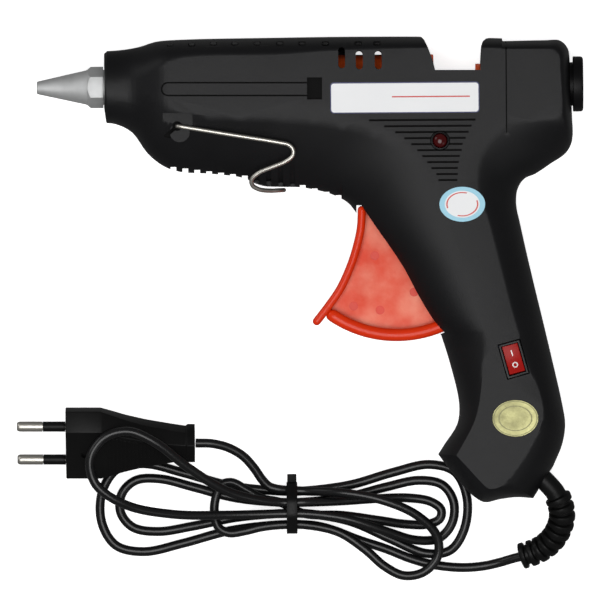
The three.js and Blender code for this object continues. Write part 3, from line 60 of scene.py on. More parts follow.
HOUSING_PIXELS = 467.6
NOZZLE_LENGTH = 26.2
CORD_DIAMETER = 3.6
PICTURE_PIXELS = 600
AXIS_PIXEL = (104.2, 87.6)
PICTURE_TURN = radians(0.42)
MM_PER_PIXEL = HOUSING_LENGTH / HOUSING_PIXELS

# Levels over the seam's plane: where each half starts, the surface that the gun lies on, and two clear
# of a half, where cuts through it end
SEAM = 0.15
SURFACE = -PANEL
OVER = PANEL + 2
UNDER = -2

nozzle_low, nozzle_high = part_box("nozzle")
nozzle_middle = (nozzle_low + nozzle_high) / 2
GUN_ZERO = Vector((nozzle_low.x / MM + NOZZLE_LENGTH, nozzle_middle.y / MM, nozzle_middle.z / MM))


def at(u, v):
    """Gun millimetres of a pixel."""
    du, dv = u - AXIS_PIXEL[0], v - AXIS_PIXEL[1]
    x = MM_PER_PIXEL * (du * cos(PICTURE_TURN) - dv * sin(PICTURE_TURN))
    y = -MM_PER_PIXEL * (du * sin(PICTURE_TURN) + dv * cos(PICTURE_TURN))
    return x, y


def pixel_of(x, y):
    """Pixel of a place in gun millimetres."""
    u = x * cos(PICTURE_TURN) - y * sin(PICTURE_TURN)
    v = -x * sin(PICTURE_TURN) - y * cos(PICTURE_TURN)
    return AXIS_PIXEL[0] + u / MM_PER_PIXEL, AXIS_PIXEL[1] + v / MM_PER_PIXEL


def along_barrel(u):
    """How far along the barrel a pixel column lies, without the picture's small turn."""
    return MM_PER_PIXEL * (u - AXIS_PIXEL[0])


def spline(points, steps):
    """A smooth line through points of any dimension, closer where they are close."""
    points = [Vector(p) for p in points]
    ends = [points[0] * 2 - points[1], *points, points[-1] * 2 - points[-2]]
    line = []
    for i in range(1, len(ends) - 2):
        a, b, c, d = ends[i - 1:i + 3]
        first, middle, last = (max((q - p).length, 1e-6) ** 0.5 for p, q in ((a, b), (b, c), (c, d)))
        start = ((b - a) / first - (c - a) / (first + middle) + (c - b) / middle) * middle
        end = ((c - b) / middle - (d - b) / (middle + last) + (d - c) / last) * middle
        for k in range(steps):
            t = k / steps
            line.append(b + start * t + (3 * (c - b) - 2 * start - end) * t ** 2
                        + (2 * (b - c) + start + end) * t ** 3)
    return line + [points[-1]]


def arc(x, y, radius, start, end, steps):
    """Points along a circle from one angle to another."""
    angles = [start + (end - start) * k / steps for k in range(steps + 1)]
    return [(x + radius * cos(a), y + radius * sin(a)) for a in angles]


def add_object(name, data):
    made = bpy.data.objects.new(name, data)
    bpy.context.scene.collection.objects.link(made)
    return made


def new_mesh(name, shape):
    """The bmesh as a mesh."""
    mesh = bpy.data.meshes.new(name)
    shape.to_mesh(mesh)
    shape.free()
    return mesh


# Colours and materials

def colour(text):
    """An sRGB hex colour as linear red, green, blue and alpha."""
    channels = [int(text[i:i + 2], 16) / 255 for i in (1, 3, 5)]
    return (*[c / 12.92 if c <= 0.04045 else ((c + 0.055) / 1.055) ** 2.4 for c in channels], 1)


def add_node(tree, kind, settings=None, links=None):
    """A node with its sockets and settings given, linked from other nodes' outputs."""
    made = tree.nodes.new(kind)
    for name, value in (settings or {}).items():
        if isinstance(name, int) or name in made.inputs:
            made.inputs[name].default_value = value
        else:
            setattr(made, name, value)
    for name, source in (links or {}).items():
        tree.links.new(source, made.inputs[name])
    return made


def between(tree, low, high, share):
    """A number that runs from low to high with a pattern."""
    made = add_node(tree, "ShaderNodeMapRange", {"To Min": low, "To Max": high}, {"Value": share})
    return made.outputs["Result"]


def blend(tree, first, second, share):
    """A colour that runs from the first to the second with a pattern."""
    return add_node(tree, "ShaderNodeMix", {"data_type": "RGBA", 6: colour(first), 7: colour(second)},
                    {0: share}).outputs[2]


def new_material(name, base, roughness, specular=0.5, metallic=0.0):
    """A material with its shader set, and the tree to add patterns to."""
    material = bpy.data.materials.new(name)
    material.use_nodes = True
    shader = material.node_tree.nodes["Principled BSDF"]
    for socket, value in (("Base Color", colour(base)), ("Roughness", roughness),
                          ("Specular IOR Level", specular), ("Metallic", metallic)):
        shader.inputs[socket].default_value = value
    return material, material.node_tree, shader


def dress(tree, shader, shade, gloss, relief, depth, distance):
    """Links the patterns of colour and gloss, and a fine relief, to the shader."""
    bump = add_node(tree, "ShaderNodeBump", {"Strength": depth, "Distance": distance}, {"Height": relief})
    for socket, source in (("Base Color", shade), ("Roughness", gloss), ("Normal", bump.outputs["Normal"])):
        tree.links.new(source, shader.inputs[socket])


def clouds(tree, place, size, detail):
    """A cloudy pattern of a size in millimetres."""
    made = add_node(tree, "ShaderNodeTexNoise", {"Scale": 1000 / size, "Detail": detail}, {"Vector": place})
    return made.outputs["Fac"]


def textured(name, base, other, roughness, grain, spread, depth, swing, contrast=1.0, **sockets):
    """A moulded surface: cloudy colour over millimetres, fine grain in its height and gloss."""
    material, tree, shader = new_material(name, base, roughness, **sockets)
    place = add_node(tree, "ShaderNodeTexCoord").outputs["Object"]
    wide = clouds(tree, place, spread, 4.0)
    fine = clouds(tree, place, grain, 3.0)
    patches = add_node(tree, "ShaderNodeMapRange", {
        "From Min": 0.5 - 0.5 / contrast, "From Max": 0.5 + 0.5 / contrast}, {"Value": wide})
    dress(tree, shader, blend(tree, base, other, patches.outputs["Result"]),
          between(tree, roughness - swing, roughness + swing, fine), fine, depth, 0.0002)
    return material


# The wave texture turns by 20 radians in a unit of its scale, so these rings are 5.7 mm apart
RING_SCALE = 1000 / 18


def turned_aluminium():
    """Cast and turned aluminium: soft light grey with faint rings round the nozzle's axis."""
    material, tree, shader = new_material("turned_aluminium", "#c6c7c7", 0.5, metallic=0.8)
    place = add_node(tree, "ShaderNodeTexCoord").outputs["Object"]
    rings = add_node(tree, "ShaderNodeTexWave", {
        "bands_direction": "X", "Scale": RING_SCALE, "Distortion": 1.2, "Detail": 2.0}, {"Vector": place})
    wide = clouds(tree, place, 5, 4.0)
    dress(tree, shader, blend(tree, "#cfd0d0", "#b2b3b3", wide), between(tree, 0.54, 0.66, wide),
          rings.outputs["Fac"], 0.06, 0.0001)
    return material


# Each material: its name, two colours, roughness, size of grain and of clouds in millimetres, depth of
# the grain, swing of the roughness and contrast of the clouds.
# Black ABS, moulded in a finely eroded tool: a satin black that greys where light lies flat on it
black_abs = textured("moulded_black_abs", "#0b0b0c", "#121214", 0.46, 0.35, 14, 0.2, 0.07, specular=0.18)
# The floors of the sunk lines and of the square pocket: a rougher black, whose darker colour is painted shade
sunk_floor_painted_shade = textured("rough_black_abs_painted_shade", "#080808", "#0c0c0c", 0.75, 0.35, 6, 0.2, 0.05, specular=0.1)
# Black ABS of the ring and the cord clamp, smoother from its own small tool
smooth_abs = textured("smooth_black_abs", "#070708", "#0b0b0c", 0.45, 0.5, 9, 0.08, 0.05, specular=0.12)
# Black polyamide of the switch and the indicator, with the crisp edges of a small tool
switch_plastic = textured("switch_black_polyamide", "#111112", "#161617", 0.36, 0.5, 6, 0.06, 0.05,
                          specular=0.2)
# Orange polypropylene: a polished tool for the trigger, with flow clouds on its web whose pale patches are
# also painted sheen
orange_pp = textured("orange_polypropylene", "#d22b05", "#dc3509", 0.3, 1.2, 11, 0.08, 0.05, specular=0.22)
orange_web_painted_sheen = textured("orange_polypropylene_web_painted_sheen", "#df3f1a", "#f08c72", 0.36, 1.6, 12, 0.3, 0.1, 2.6,
                      specular=0.16)
# The carriage's orange is lightened as painted light, for where it lies in shade behind the slots
orange_feed_painted_light = textured("orange_feed_plastic_painted_light", "#f2561f", "#f8682c", 0.45, 1.0, 8, 0.1, 0.06, specular=0.2)
# PVC of the cord, extruded: slick black with a little waviness
cord_pvc = textured("extruded_black_pvc", "#0b0b0c", "#111112", 0.28, 2.5, 20, 0.12, 0.05, specular=0.3)
# PVC of plug and strain relief, moulded and duller
moulded_pvc = textured("moulded_black_pvc", "#090909", "#0e0e0e", 0.42, 0.8, 12, 0.12, 0.06, specular=0.14)
nickel = textured("bright_nickel_wire", "#c4c1ba", "#b0ada5", 0.4, 0.7, 5, 0.03, 0.05, metallic=1.0)
zinc_steel = textured("zinc_plated_steel", "#a9aaa8", "#8f9090", 0.32, 0.6, 4, 0.08, 0.06, metallic=1.0)
switch_red = textured("moulded_red_polycarbonate", "#95130f", "#a51b16", 0.34, 1.0, 6, 0.05, 0.04,
                      specular=0.12)
silicone = textured("moulded_white_silicone", "#d6d0c3", "#cbc4b5", 0.65, 0.8, 9, 0.1, 0.05)
ceramic = textured("pressed_grey_ceramic", "#8a8781", "#7b7872", 0.8, 0.4, 4, 0.2, 0.05)
red_lead = textured("extruded_red_pvc", "#9a1d1c", "#8a1918", 0.45, 1.5, 8, 0.05, 0.05)
blue_lead = textured("extruded_blue_pvc", "#22409a", "#1c3788", 0.45, 1.5, 8, 0.05, 0.05)
aluminium = turned_aluminium()
white_print = textured("printed_white_film", "#e8e8e8", "#e0e1e3", 0.34, 1.5, 16, 0.02, 0.03, specular=0.3)
blue_edge = textured("printed_dark_blue_film", "#1c2260", "#191e55", 0.36, 1.5, 16, 0.02, 0.03)
red_print = textured("printed_red_film", "#c8342a", "#bd2f26", 0.4, 1.5, 8, 0.02, 0.03)
pale_blue = textured("printed_pale_blue_film", "#8cc6da", "#84bdd2", 0.36, 1.5, 12, 0.02, 0.03)
# Gold foil: its bright and dark clouds are painted glints and painted shade of the embossing
gold_foil_painted_glints = textured("embossed_gold_foil", "#6a6737", "#aaa76e", 0.34, 0.9, 7, 0.3, 0.1, 2.4, metallic=0.3)
gold_dark = textured("embossed_gold_foil_dark", "#716f45", "#605e38", 0.4, 0.9, 4, 0.25, 0.1, metallic=0.3)
lens_red = new_material("clear_red_acrylic", "#3a0304", 0.12, specular=0.25)[0]
white_mark = textured("white_switch_mark", "#f0efec", "#e6e5e2", 0.4, 1.0, 4, 0.02, 0.03)


# Camera, floor and light

CAMERA_DISTANCE = 9.0
AIM_LEVEL = 10
SENSOR = 36
TABLE_GREY = "#e9e9e9"
TABLE_IN_GLOSS = "#3a3a3a"
TABLE_GLOW = 0.75
GLOW_IN_GLOSS = 0.2
# The world's strength for the lit objects and behind them
WORLD_LIGHT = 0.22
WORLD_SEEN = 1.0
# Name, place in metres, side in metres and power in watts; each lamp points to the middle
LAMPS = [
    ("soft_light_above", (-0.05, -0.17, 1.3), 0.8, 12.4),
    ("soft_light_left", (-1.1, 0.7, 0.7), 0.6, 3),
    ("soft_light_right", (0.95, -0.75, 0.9), 0.5, 1),
]


def add_camera():
    camera = add_object("camera", bpy.data.cameras.new("camera"))
    bpy.context.scene.camera = camera
    x, y = at(PICTURE_PIXELS / 2, PICTURE_PIXELS / 2)
    aim = Vector((GUN_ZERO.x + x, GUN_ZERO.y + y, AIM_LEVEL)) * MM
    camera.location = aim + Vector((0, 0, CAMERA_DISTANCE))
    camera.rotation_euler = (0, 0, -PICTURE_TURN)
    camera.data.sensor_width = SENSOR
    camera.data.lens = SENSOR * CAMERA_DISTANCE / (PICTURE_PIXELS * MM_PER_PIXEL * MM)
    camera.data.clip_end = 100


def add_table():
    """A white table that glows where the camera sees it, and weakly where glossy surfaces mirror it."""
    shape = bmesh.new()
    bmesh.ops.create_grid(shape, x_segments=1, y_segments=1, size=3)
    floor = add_object("table_top", new_mesh("table_top", shape))
    floor.location = (0, 0, -0.0002)
    material, tree, shader = new_material("matt_white_table", TABLE_GREY, 0.8, specular=0.1)
    rays = add_node(tree, "ShaderNodeLightPath").outputs
    clear = add_node(tree, "ShaderNodeMath", {"operation": "ADD", "use_clamp": True},
                     {0: rays["Is Camera Ray"], 1: rays["Is Transmission Ray"]})
    glossy = rays["Is Glossy Ray"]
    mirrored = add_node(tree, "ShaderNodeMath", {"operation": "MULTIPLY", 1: GLOW_IN_GLOSS}, {0: glossy})
    seen = add_node(tree, "ShaderNodeMath", {"operation": "ADD", "use_clamp": True},
                    {0: clear.outputs[0], 1: mirrored.outputs[0]})
    tree.links.new(blend(tree, TABLE_GREY, TABLE_IN_GLOSS, glossy), shader.inputs["Base Color"])
    white = add_node(tree, "ShaderNodeEmission", {"Color": colour("#ffffff"), "Strength": TABLE_GLOW})
    both = add_node(tree, "ShaderNodeAddShader", {}, {0: shader.outputs[0], 1: white.outputs[0]})
    mixed = add_node(tree, "ShaderNodeMixShader", {},
                     {0: seen.outputs[0], 1: shader.outputs[0], 2: both.outputs[0]})
    tree.links.new(mixed.outputs[0], tree.nodes["Material Output"].inputs["Surface"])
    floor.data.materials.append(material)


def add_light():
    world = bpy.data.worlds.new("studio")
    world.use_nodes = True
    tree = world.node_tree
    background = tree.nodes["Background"]
    background.inputs["Color"].default_value = colour("#ffffff")
    seen = add_node(tree, "ShaderNodeLightPath").outputs["Is Camera Ray"]
    tree.links.new(between(tree, WORLD_LIGHT, WORLD_SEEN, seen), background.inputs["Strength"])
    bpy.context.scene.world = world
    for name, place, size, energy in LAMPS:
        lamp = bpy.data.lights.new(name, "AREA")
        lamp.size = size
        lamp.energy = energy
        light = add_object(name, lamp)
        light.location = place
        light.rotation_euler = (-Vector(place)).to_track_quat("-Z", "Y").to_euler()
    bpy.context.scene.view_settings.view_transform = "Standard"


add_camera()
add_table()
add_light()


# Making pieces

def piece(name, mesh, material, node=None, body="housing"):
    """A finished mesh in gun millimetres becomes a piece in the frame."""
    mesh.transform(Matrix.Scale(MM, 4) @ Matrix.Translation(GUN_ZERO))
    mesh.name = name
    made = add_object(name, mesh)
    mesh.materials.clear()
    mesh.materials.append(material)
    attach(made, body)
    if node:
        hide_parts(node)
    return made


def smoothed(mesh, angle):
    """The mesh, shaded smooth but for edges sharper than the angle."""
    mesh.polygons.foreach_set("use_smooth", [True] * len(mesh.polygons))
    mesh.set_sharp_from_angle(angle=radians(angle))
    return mesh


def to_mesh(shape, angle=30):
    bmesh.ops.recalc_face_normals(shape, faces=shape.faces)
    return smoothed(new_mesh("finished", shape), angle)


def soften(shape, width, angle=35, segments=2):
    """Rounds every edge of a bmesh that turns by more than the angle."""
    limit = radians(angle)
    edges = [e for e in shape.edges if len(e.link_faces) == 2 and e.calc_face_angle(0) > limit]
    bmesh.ops.bevel(shape, geom=edges, offset=width, offset_type="OFFSET", segments=segments,
                    affect="EDGES", profile=0.5, material=-1, clamp_overlap=True)
    return shape


def pulled(corners, way, shape=None):
    """A flat face, given by its corners, pulled into a closed shape."""
    shape = shape or bmesh.new()
    face = shape.faces.new([shape.verts.new(corner) for corner in corners])
    grown = bmesh.ops.extrude_face_region(shape, geom=[face])
    far_end = [e for e in grown["geom"] if isinstance(e, bmesh.types.BMVert)]
    bmesh.ops.translate(shape, vec=way, verts=far_end)
    bmesh.ops.recalc_face_normals(shape, faces=shape.faces)
    return shape


def slab(points, low, high, shape=None):
    """A flat shape, given by its outline, raised from low to high."""
    return pulled([(x, y, low) for x, y in points], (0, 0, high - low), shape)


def side_slab(profile, x0, x1, shape=None):
    """A flat shape in the gun's YZ plane, pulled along X."""
    return pulled([(x0, y, z) for y, z in profile], (x1 - x0, 0, 0), shape)


def prism(pixels, low, high, shape=None):
    return slab([at(u, v) for u, v in pixels], low, high, shape)


def block(x0, x1, y0, y1, low, high, shape=None):
    return slab([(x0, y0), (x1, y0), (x1, y1), (x0, y1)], low, high, shape)


def split(shape, place, normal):
    """Runs an edge round the shape where a plane meets it."""
    geometry = [*shape.verts, *shape.edges, *shape.faces]
    bmesh.ops.bisect_plane(shape, geom=geometry, dist=1e-5, plane_co=place, plane_no=normal)


def bar(radius, length, place, sides=32, shape=None):
    """A round bar along a place's Z axis, with its middle there."""
    shape = shape or bmesh.new()
    bmesh.ops.create_cone(shape, cap_ends=True, segments=sides, radius1=radius, radius2=radius, depth=length,
                          matrix=place)
    return shape


def facing(place, way):
    """A place whose Z axis points a way."""
    return Matrix.Translation(place) @ way.to_track_quat("Z", "Y").to_matrix().to_4x4()


def moved(shape, place):
    bmesh.ops.transform(shape, matrix=place, verts=shape.verts)
    return shape


def rod(radius, x, y, low, high, sides=32, shape=None):
    """An upright round rod."""
    return bar(radius, high - low, Matrix.Translation((x, y, (low + high) / 2)), sides, shape)


ALONG_X = Matrix.Rotation(pi / 2, 4, "Y")


def disc(radius, x0, x1, sides=48, shape=None):
    """A rod along the glue stick's axis."""
    return bar(radius, x1 - x0, Matrix.Translation(((x0 + x1) / 2, 0, 0)) @ ALONG_X, sides, shape)


def turned(profile, steps=64, axis=(1, 0, 0)):
    """A profile of [along, radius] points spun round the gun's X axis, or the Z axis."""
    shape = bmesh.new()
    along_x = axis[0] == 1
    verts = [shape.verts.new((a, r, 0) if along_x else (r, 0, a)) for a, r in profile]
    edges = [shape.edges.new(pair) for pair in zip(verts, verts[1:])]
    bmesh.ops.spin(shape, geom=verts + edges, cent=(0, 0, 0), axis=axis, angle=2 * pi, steps=steps,
                   use_merge=True, dvec=(0, 0, 0))
    bmesh.ops.remove_doubles(shape, verts=shape.verts, dist=1e-4)
    bmesh.ops.recalc_face_normals(shape, faces=shape.faces)
    return shape


def lofted(rings, shape=None):
    """A closed body through rings of points: the first ring's face is pulled from ring to ring."""
    shape = shape or bmesh.new()
    face = shape.faces.new([shape.verts.new(place) for place in rings[0]])
    for number, ring in enumerate(rings[1:]):
        grown = bmesh.ops.extrude_face_region(shape, geom=[face])
        if number:
            bmesh.ops.delete(shape, geom=[face], context="FACES_ONLY")
        face = next(f for f in grown["geom"] if isinstance(f, bmesh.types.BMFace))
        for vert, place in zip(face.verts, ring):
            vert.co = place
    bmesh.ops.recalc_face_normals(shape, faces=shape.faces)
    return shape


def direction_at(line, i):
    """The line's direction at one of its points."""
    return (line[min(i + 1, len(line) - 1)] - line[max(i - 1, 0)]).normalized()


def tube(points, radii, sides=24):
    """A closed round tube through points, with a radius at each."""
    points = [Vector(p) for p in points]
    turns = [2 * pi * k / sides for k in range(sides)]
    side = Vector((0, 0, 1))
    rings = []
    for i, point in enumerate(points):
        tangent = direction_at(points, i)
        side = (side - tangent * side.dot(tangent)).normalized()
        other = tangent.cross(side)
        rings.append([point + (side * cos(a) + other * sin(a)) * radii[i] for a in turns])
    return lofted(rings)


def wire_mesh(points, diameter, sides=16):
    """A round wire along a smooth line of points."""
    return to_mesh(tube(points, [diameter / 2] * len(points), sides), 50)


def carve(shape, cutters, angle=30, edge=0.0):
    """Cuts closed shapes out of a closed shape, or joins or meets it with them, and smooths the result."""
    body = add_object("blank", new_mesh("blank", shape))
    tools = []
    for cutter in cutters:
        operation, cutter = cutter if isinstance(cutter, tuple) else ("DIFFERENCE", cutter)
        bmesh.ops.recalc_face_normals(cutter, faces=cutter.faces)
        tools.append(add_object("tool", new_mesh("tool", cutter)))
        cut = body.modifiers.new("cut", "BOOLEAN")
        cut.operation = operation
        cut.solver = "MANIFOLD"
        cut.object = tools[-1]
    bpy.context.view_layer.update()
    finished = bpy.data.meshes.new_from_object(body.evaluated_get(bpy.context.evaluated_depsgraph_get()))
    for used in (*tools, body):
        bpy.data.meshes.remove(used.data)
    clean = to_bmesh(finished)
    bmesh.ops.remove_doubles(clean, verts=clean.verts, dist=1e-4)
    if edge:
        soften(clean, edge, 40)
    bmesh.ops.triangulate(clean, faces=[f for f in clean.faces if len(f.verts) > 4])
    return smoothed(new_mesh("carved", clean), angle)


def to_bmesh(mesh):
    """The mesh as a bmesh."""
    shape = bmesh.new()
    shape.from_mesh(mesh)
    bpy.data.meshes.remove(mesh)
    return shape


def flat_first(made):
    """Keeps the shading of the flat panels flat right up to the round-over."""
    shading = made.modifiers.new("flat_first", "WEIGHTED_NORMAL")
    shading.weight = 60
    shading.keep_sharp = True


# Mains cord: from the strain relief through the hank and its tie to the plug

def lying(u, v, height):
    return Vector((*at(u, v), SURFACE + height))


TAIL_ROUTE = [
    (520.8, 556.6, 5.35), (511, 559.3, 4.2), (500, 562.6, 2.8), (484, 566.2, 1.9), (462, 567.8, 1.8),
    (434, 565, 1.8), (410, 558.5, 1.8), (386, 549, 1.8), (357, 539.5, 1.8), (338, 532, 2.2),
    (324, 527.6, 2.9), (311, 525.3, 3.1),
]
PLUG_LEAD_ROUTE = [
    (278.2, 489.2, 8.27), (269, 486.4, 8.6), (262, 479.5, 9.2), (254, 468, 10.2), (243, 456, 11.4),
    (228, 447.5, 12.6), (212, 443.5, 13.6), (195.8, 443, 14.1),
]
WAIST_PIXEL = (292, 508)
WAIST_HALF_RUN = 4.5
# Columns and layers under the tie are a pitch apart, and the columns lie about the middle one
CORD_PITCH = CORD_DIAMETER + 0.78
MIDDLE_COLUMN = 1.5
TIE_THICKNESS = 0.8
FIRST_LAYER = TIE_THICKNESS + FIT + CORD_DIAMETER / 2
LOBE_STEPS = 11
TEARDROP_SWELL = 2.6
LEVEL_SHARE = 0.82
# Each lobe: tip pixel, half width, [column, layer] at its start and end, height of its tip, how late
# its height leaves the waist on either side, its hump there, and the sense in which it is wound
LOBES = [
    ((100, 507.3), 16.4, (3, 0), (0, 0), 1.9, (0.62, 0.4), (0.43, 0.29), 1),
    ((467.5, 512.1), 17.01, (0, 0), (2, 0), 1.9, (0.52, 0.64), (0.13, 0.58), -1),
    ((119.5, 503), 10.16, (2, 0), (1, 0), 1.9, (0.53, 0.37), (0.24, 0.05), 1),
    ((454.5, 512.6), 11.57, (1, 0), (2, 2), 1.9, (0.4, 2), (0, 1.99), -1),
    ((95.5, 446.9), 13.4, (2, 2), (1, 2), 30.6, (2.15, 0.84), (0.83, 0.32), 1),
    ((442, 514.2), 4.89, (1, 2), (2, 1), 1.9, (0.75, 2.08), (0, 0.37), -1),
    ((214.5, 505.6), 9.3, (1, 1), (3, 1), 6.6, (0.54, 0.3), (0.42, 0.95), -1),
    ((432, 565.6), 11.11, (3, 1), (0, 1), 6.3, (0.3, 0.72), (0.44, 6.3), 1),
]


def lobe_points(tip, width, start, end, tip_height, powers, humps, turn):
    """One lobe as a teardrop on a bent axis: it leaves the waist level, swells and comes back."""
    waist_x, waist_y = at(*WAIST_PIXEL)
    tip_x, tip_y = at(*tip)
    side = copysign(1, tip_x - waist_x)
    start_x = waist_x + side * WAIST_HALF_RUN
    reach, drop = tip_x - start_x, tip_y - waist_y
    points = []
    for i in range(LOBE_STEPS + 1):
        angle = -pi / 2 + pi * i / LOBE_STEPS
        along = max(cos(angle), 0)
        swell = TEARDROP_SWELL * sin(angle) * along * along * width * turn
        strand = 0 if angle < 0 else 1
        column, layer = (start, end)[strand]
        fade = sin(angle) ** 4
        tangent = Vector((reach, 2 * drop * along)).normalized()
        x = start_x + reach * along - tangent.y * swell * side
        y = waist_y + drop * along * along + tangent.x * swell * side
        y += (MIDDLE_COLUMN - column) * CORD_PITCH * fade
        rise = min(along / LEVEL_SHARE, 1) ** powers[strand]
        height = (FIRST_LAYER + layer * CORD_PITCH) * (1 - rise) + tip_height * rise
        height += humps[strand] * 4 * along * (1 - along)
        points.append(Vector((x, y, SURFACE + height)))
    return points


def cord_route():
    """The cord's line, in the frame and in metres."""
    hank = [p for lobe in LOBES for p in lobe_points(*lobe)]
    control = [lying(*p) for p in TAIL_ROUTE] + hank + [lying(*p) for p in PLUG_LEAD_ROUTE]
    return [(p + GUN_ZERO) * MM for p in spline(control, 8)]


def length_of(points):
    return sum((b - a).length for a, b in zip(points, points[1:]))


def mains_cord():
    route = cord_route()
    curve = bpy.data.curves.new("mains_cord", "CURVE")
    curve.dimensions = "3D"
    curve.bevel_depth = CORD_DIAMETER / 2 * MM
    curve.bevel_resolution = 5
    curve.use_fill_caps = True
    line = curve.splines.new("POLY")
    line.points.add(len(route) - 1)
    for point, place in zip(line.points, route):
        point.co = (*place, 1)
    line.use_smooth = True
    cord = add_object("mains_cord", curve)
    curve.materials.append(cord_pvc)
    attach(cord, "housing")
    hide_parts("cord_tail", "cord_hank", "cord_plug_lead")
    return cord, route


cord, cord_line = mains_cord()


# Housing: two half shells that meet at the seam. Each run of the outline has smooth rows, and corners
# between the runs. A row has a seam pixel and a pixel of the flat side panel's edge. The share of a
# straight slope in the round-over between the two is the run's, or the row's own.

OUTLINE_RUNS = [
    (0, [(104.2, 123, 106, 90), (104.2, 51.5, 106, 86)]),
    (0, [
        (104.2, 51.5, 106, 86), (124, 50, 126, 84), (140, 47, 146, 77), (156, 42, 164, 66),
        (180, 40, 184, 59), (276, 38, 276, 56), (348, 37, 348, 51), (440, 37, 440, 49),
        (501.5, 38.5, 501.5, 49),
    ]),
    (0.2, [
        (502.4, 41.3, 502.4, 50, 0), (545, 40.4, 545, 50, 0), (559.6, 40.6, 553, 50.5, 0),
        (567.6, 48.8, 558, 56, 0), (569.6, 64, 559, 70, 0), (571.6, 112, 561, 106, 0),
        (571.8, 141, 560, 116, 0.1), (565.7, 153, 535, 119), (550, 164, 507, 124), (535, 174, 488, 140),
        (524.5, 178.6, 479, 156), (517.6, 188.5, 476, 173), (516, 204, 477.5, 196), (520, 224, 485, 215),
        (529, 264, 496, 255), (543.5, 324, 513, 320), (553, 364, 527, 362), (562, 404, 541, 402),
        (565, 424, 541, 424), (562, 444, 533, 440), (553, 466, 524, 456),
    ]),
    (0.2, [(553, 466, 524, 456), (533, 498, 507, 480)]),
    (0.2, [
        (533, 498, 507, 480), (516, 497, 500, 486), (500, 499, 494, 488), (484, 502, 488, 488),
        (471, 494, 480, 481), (453, 474, 468, 468, 0.3), (438, 454, 456, 455, 0.3),
    ]),
    (0.3, [
        (438, 454, 456, 455), (445, 443, 464, 441), (457, 424, 474, 421), (459, 404, 479, 401),
        (450, 364, 483, 363), (441, 335, 487, 332),
    ]),
    (0, [
        (441, 335, 487, 332, 0.1), (429, 322, 485, 318), (412, 296, 477, 294), (398, 270.5, 468, 268),
        (384, 249.5, 459, 247), (370.5, 232, 447, 215), (357, 214, 436, 184),
    ]),
    (0.6, [
        (357, 214, 436, 184, 0), (348, 203, 420, 163, 0.1), (332, 194.5, 400, 145, 0.3),
        (316, 190, 375, 133, 0.5), (300, 187.4, 350, 126), (280, 187, 320, 120), (264, 186.2, 296, 118.5),
        (254, 183, 282, 117.5), (244, 178.2, 270, 117), (212, 174, 226, 116), (180, 172, 192, 115),
        (164, 166.5, 173, 109, 0.5), (148, 154, 158, 99, 0.2), (132, 132.5, 138, 93, 0.1),
        (116, 124.5, 122, 91, 0), (104.2, 123, 106, 90, 0),
    ]),
]
COLLAR_WALL = 3
# Pixel columns where the collar widens; the form gets an edge at each
COLLAR_COLUMNS = range(108, 170, 4)
COLLAR_ENDS_AT, FULL_WIDTH_FROM = along_barrel(126), along_barrel(168)
REAR_FACE = along_barrel(571.8)


def width_share(x):
    """How much of the full width the housing has at a place along the barrel."""
    collar = COLLAR_DIAMETER / (2 * PANEL)
    t = min(max((x - COLLAR_ENDS_AT) / (FULL_WIDTH_FROM - COLLAR_ENDS_AT), 0), 1)
    return collar + (1 - collar) * t * t * (3 - 2 * t)


def outline_stations(steps):
    """The outline as pairs: a seam point, with the slope's share as its third value, and a panel point."""
    stations = []
    for number, (slope, run) in enumerate(OUTLINE_RUNS):
        seam = spline([(*at(u, v), *(own or [slope])) for u, v, _, _, *own in run], steps)
        panel = spline([(*at(u, v), 0) for _, _, u, v, *_ in run], steps)
        if len(run) == 2:
            seam, panel = (spline([line[0], line[-1]], 2 * steps) for line in (seam, panel))
        joined = run[-1][:2] == OUTLINE_RUNS[(number + 1) % len(OUTLINE_RUNS)][1][0][:2]
        stations += list(zip(seam, panel))[:-1 if joined else None]
    return stations


def drawn_in(stations, distance):
    """The stations with the seam outline drawn in by a wall."""
    made = []
    for i, (seam, panel) in enumerate(stations):
        before, after = stations[i - 1][0], stations[(i + 1) % len(stations)][0]
        first, second = ((q - p).to_2d().normalized() for p, q in ((before, seam), (seam, after)))
        normal = Vector((first.y + second.y, -first.x - second.x, 0))
        share = max(normal.length / 2, 0.5)
        made.append((seam + normal.normalized() * distance / share, panel))
    return made


def half_body(stations, low, high, front=-1000, turns=14):
    """Half of the housing's form, from its flat face at the seam to its flat panel."""
    rings = []
    for ring in range(turns + 1):
        angle = pi / 2 * ring / turns
        reach = cos(angle)
        places = []
        for seam, panel in stations:
            slope = seam.z
            rise = (1 - slope) * sin(angle) + slope * (1 - reach)
            x = max(panel.x + (seam.x - panel.x) * reach, front)
            y = panel.y + (seam.y - panel.y) * reach
            places.append(Vector((x, y, low if ring == 0 else max(low, high * rise * width_share(x)))))
        rings.append(places)
    shape = lofted(rings)
    for u in COLLAR_COLUMNS:
        split(shape, (along_barrel(u), 0, 0), (1, 0, 0))
    return shape


SCREW_PIXELS = [(140, 123), (322, 162), (499, 137), (548, 136), (544, 51), (508, 262), (463, 446), (498, 476)]
PIVOT_PIXEL = (396.3, 220.7)
CORD_HOLE_PIXELS = [(534, 470), (547, 483)]
CORD_HOLE_RADIUS = 4.5
CORD_HOLE_LENGTH = 22
STAND_PIXEL = (177.5, 126.5)
STAND_LEVEL = 17.1
STAND_WIRE = 1.7
STAND_FLOOR = STAND_LEVEL - STAND_WIRE / 2 - FIT
STAND_WALL = 2.4
# The stand's post: radius and the level where it starts
STAND_POST = (3, 9.9)
STAND_HOLE_FROM = 5.5
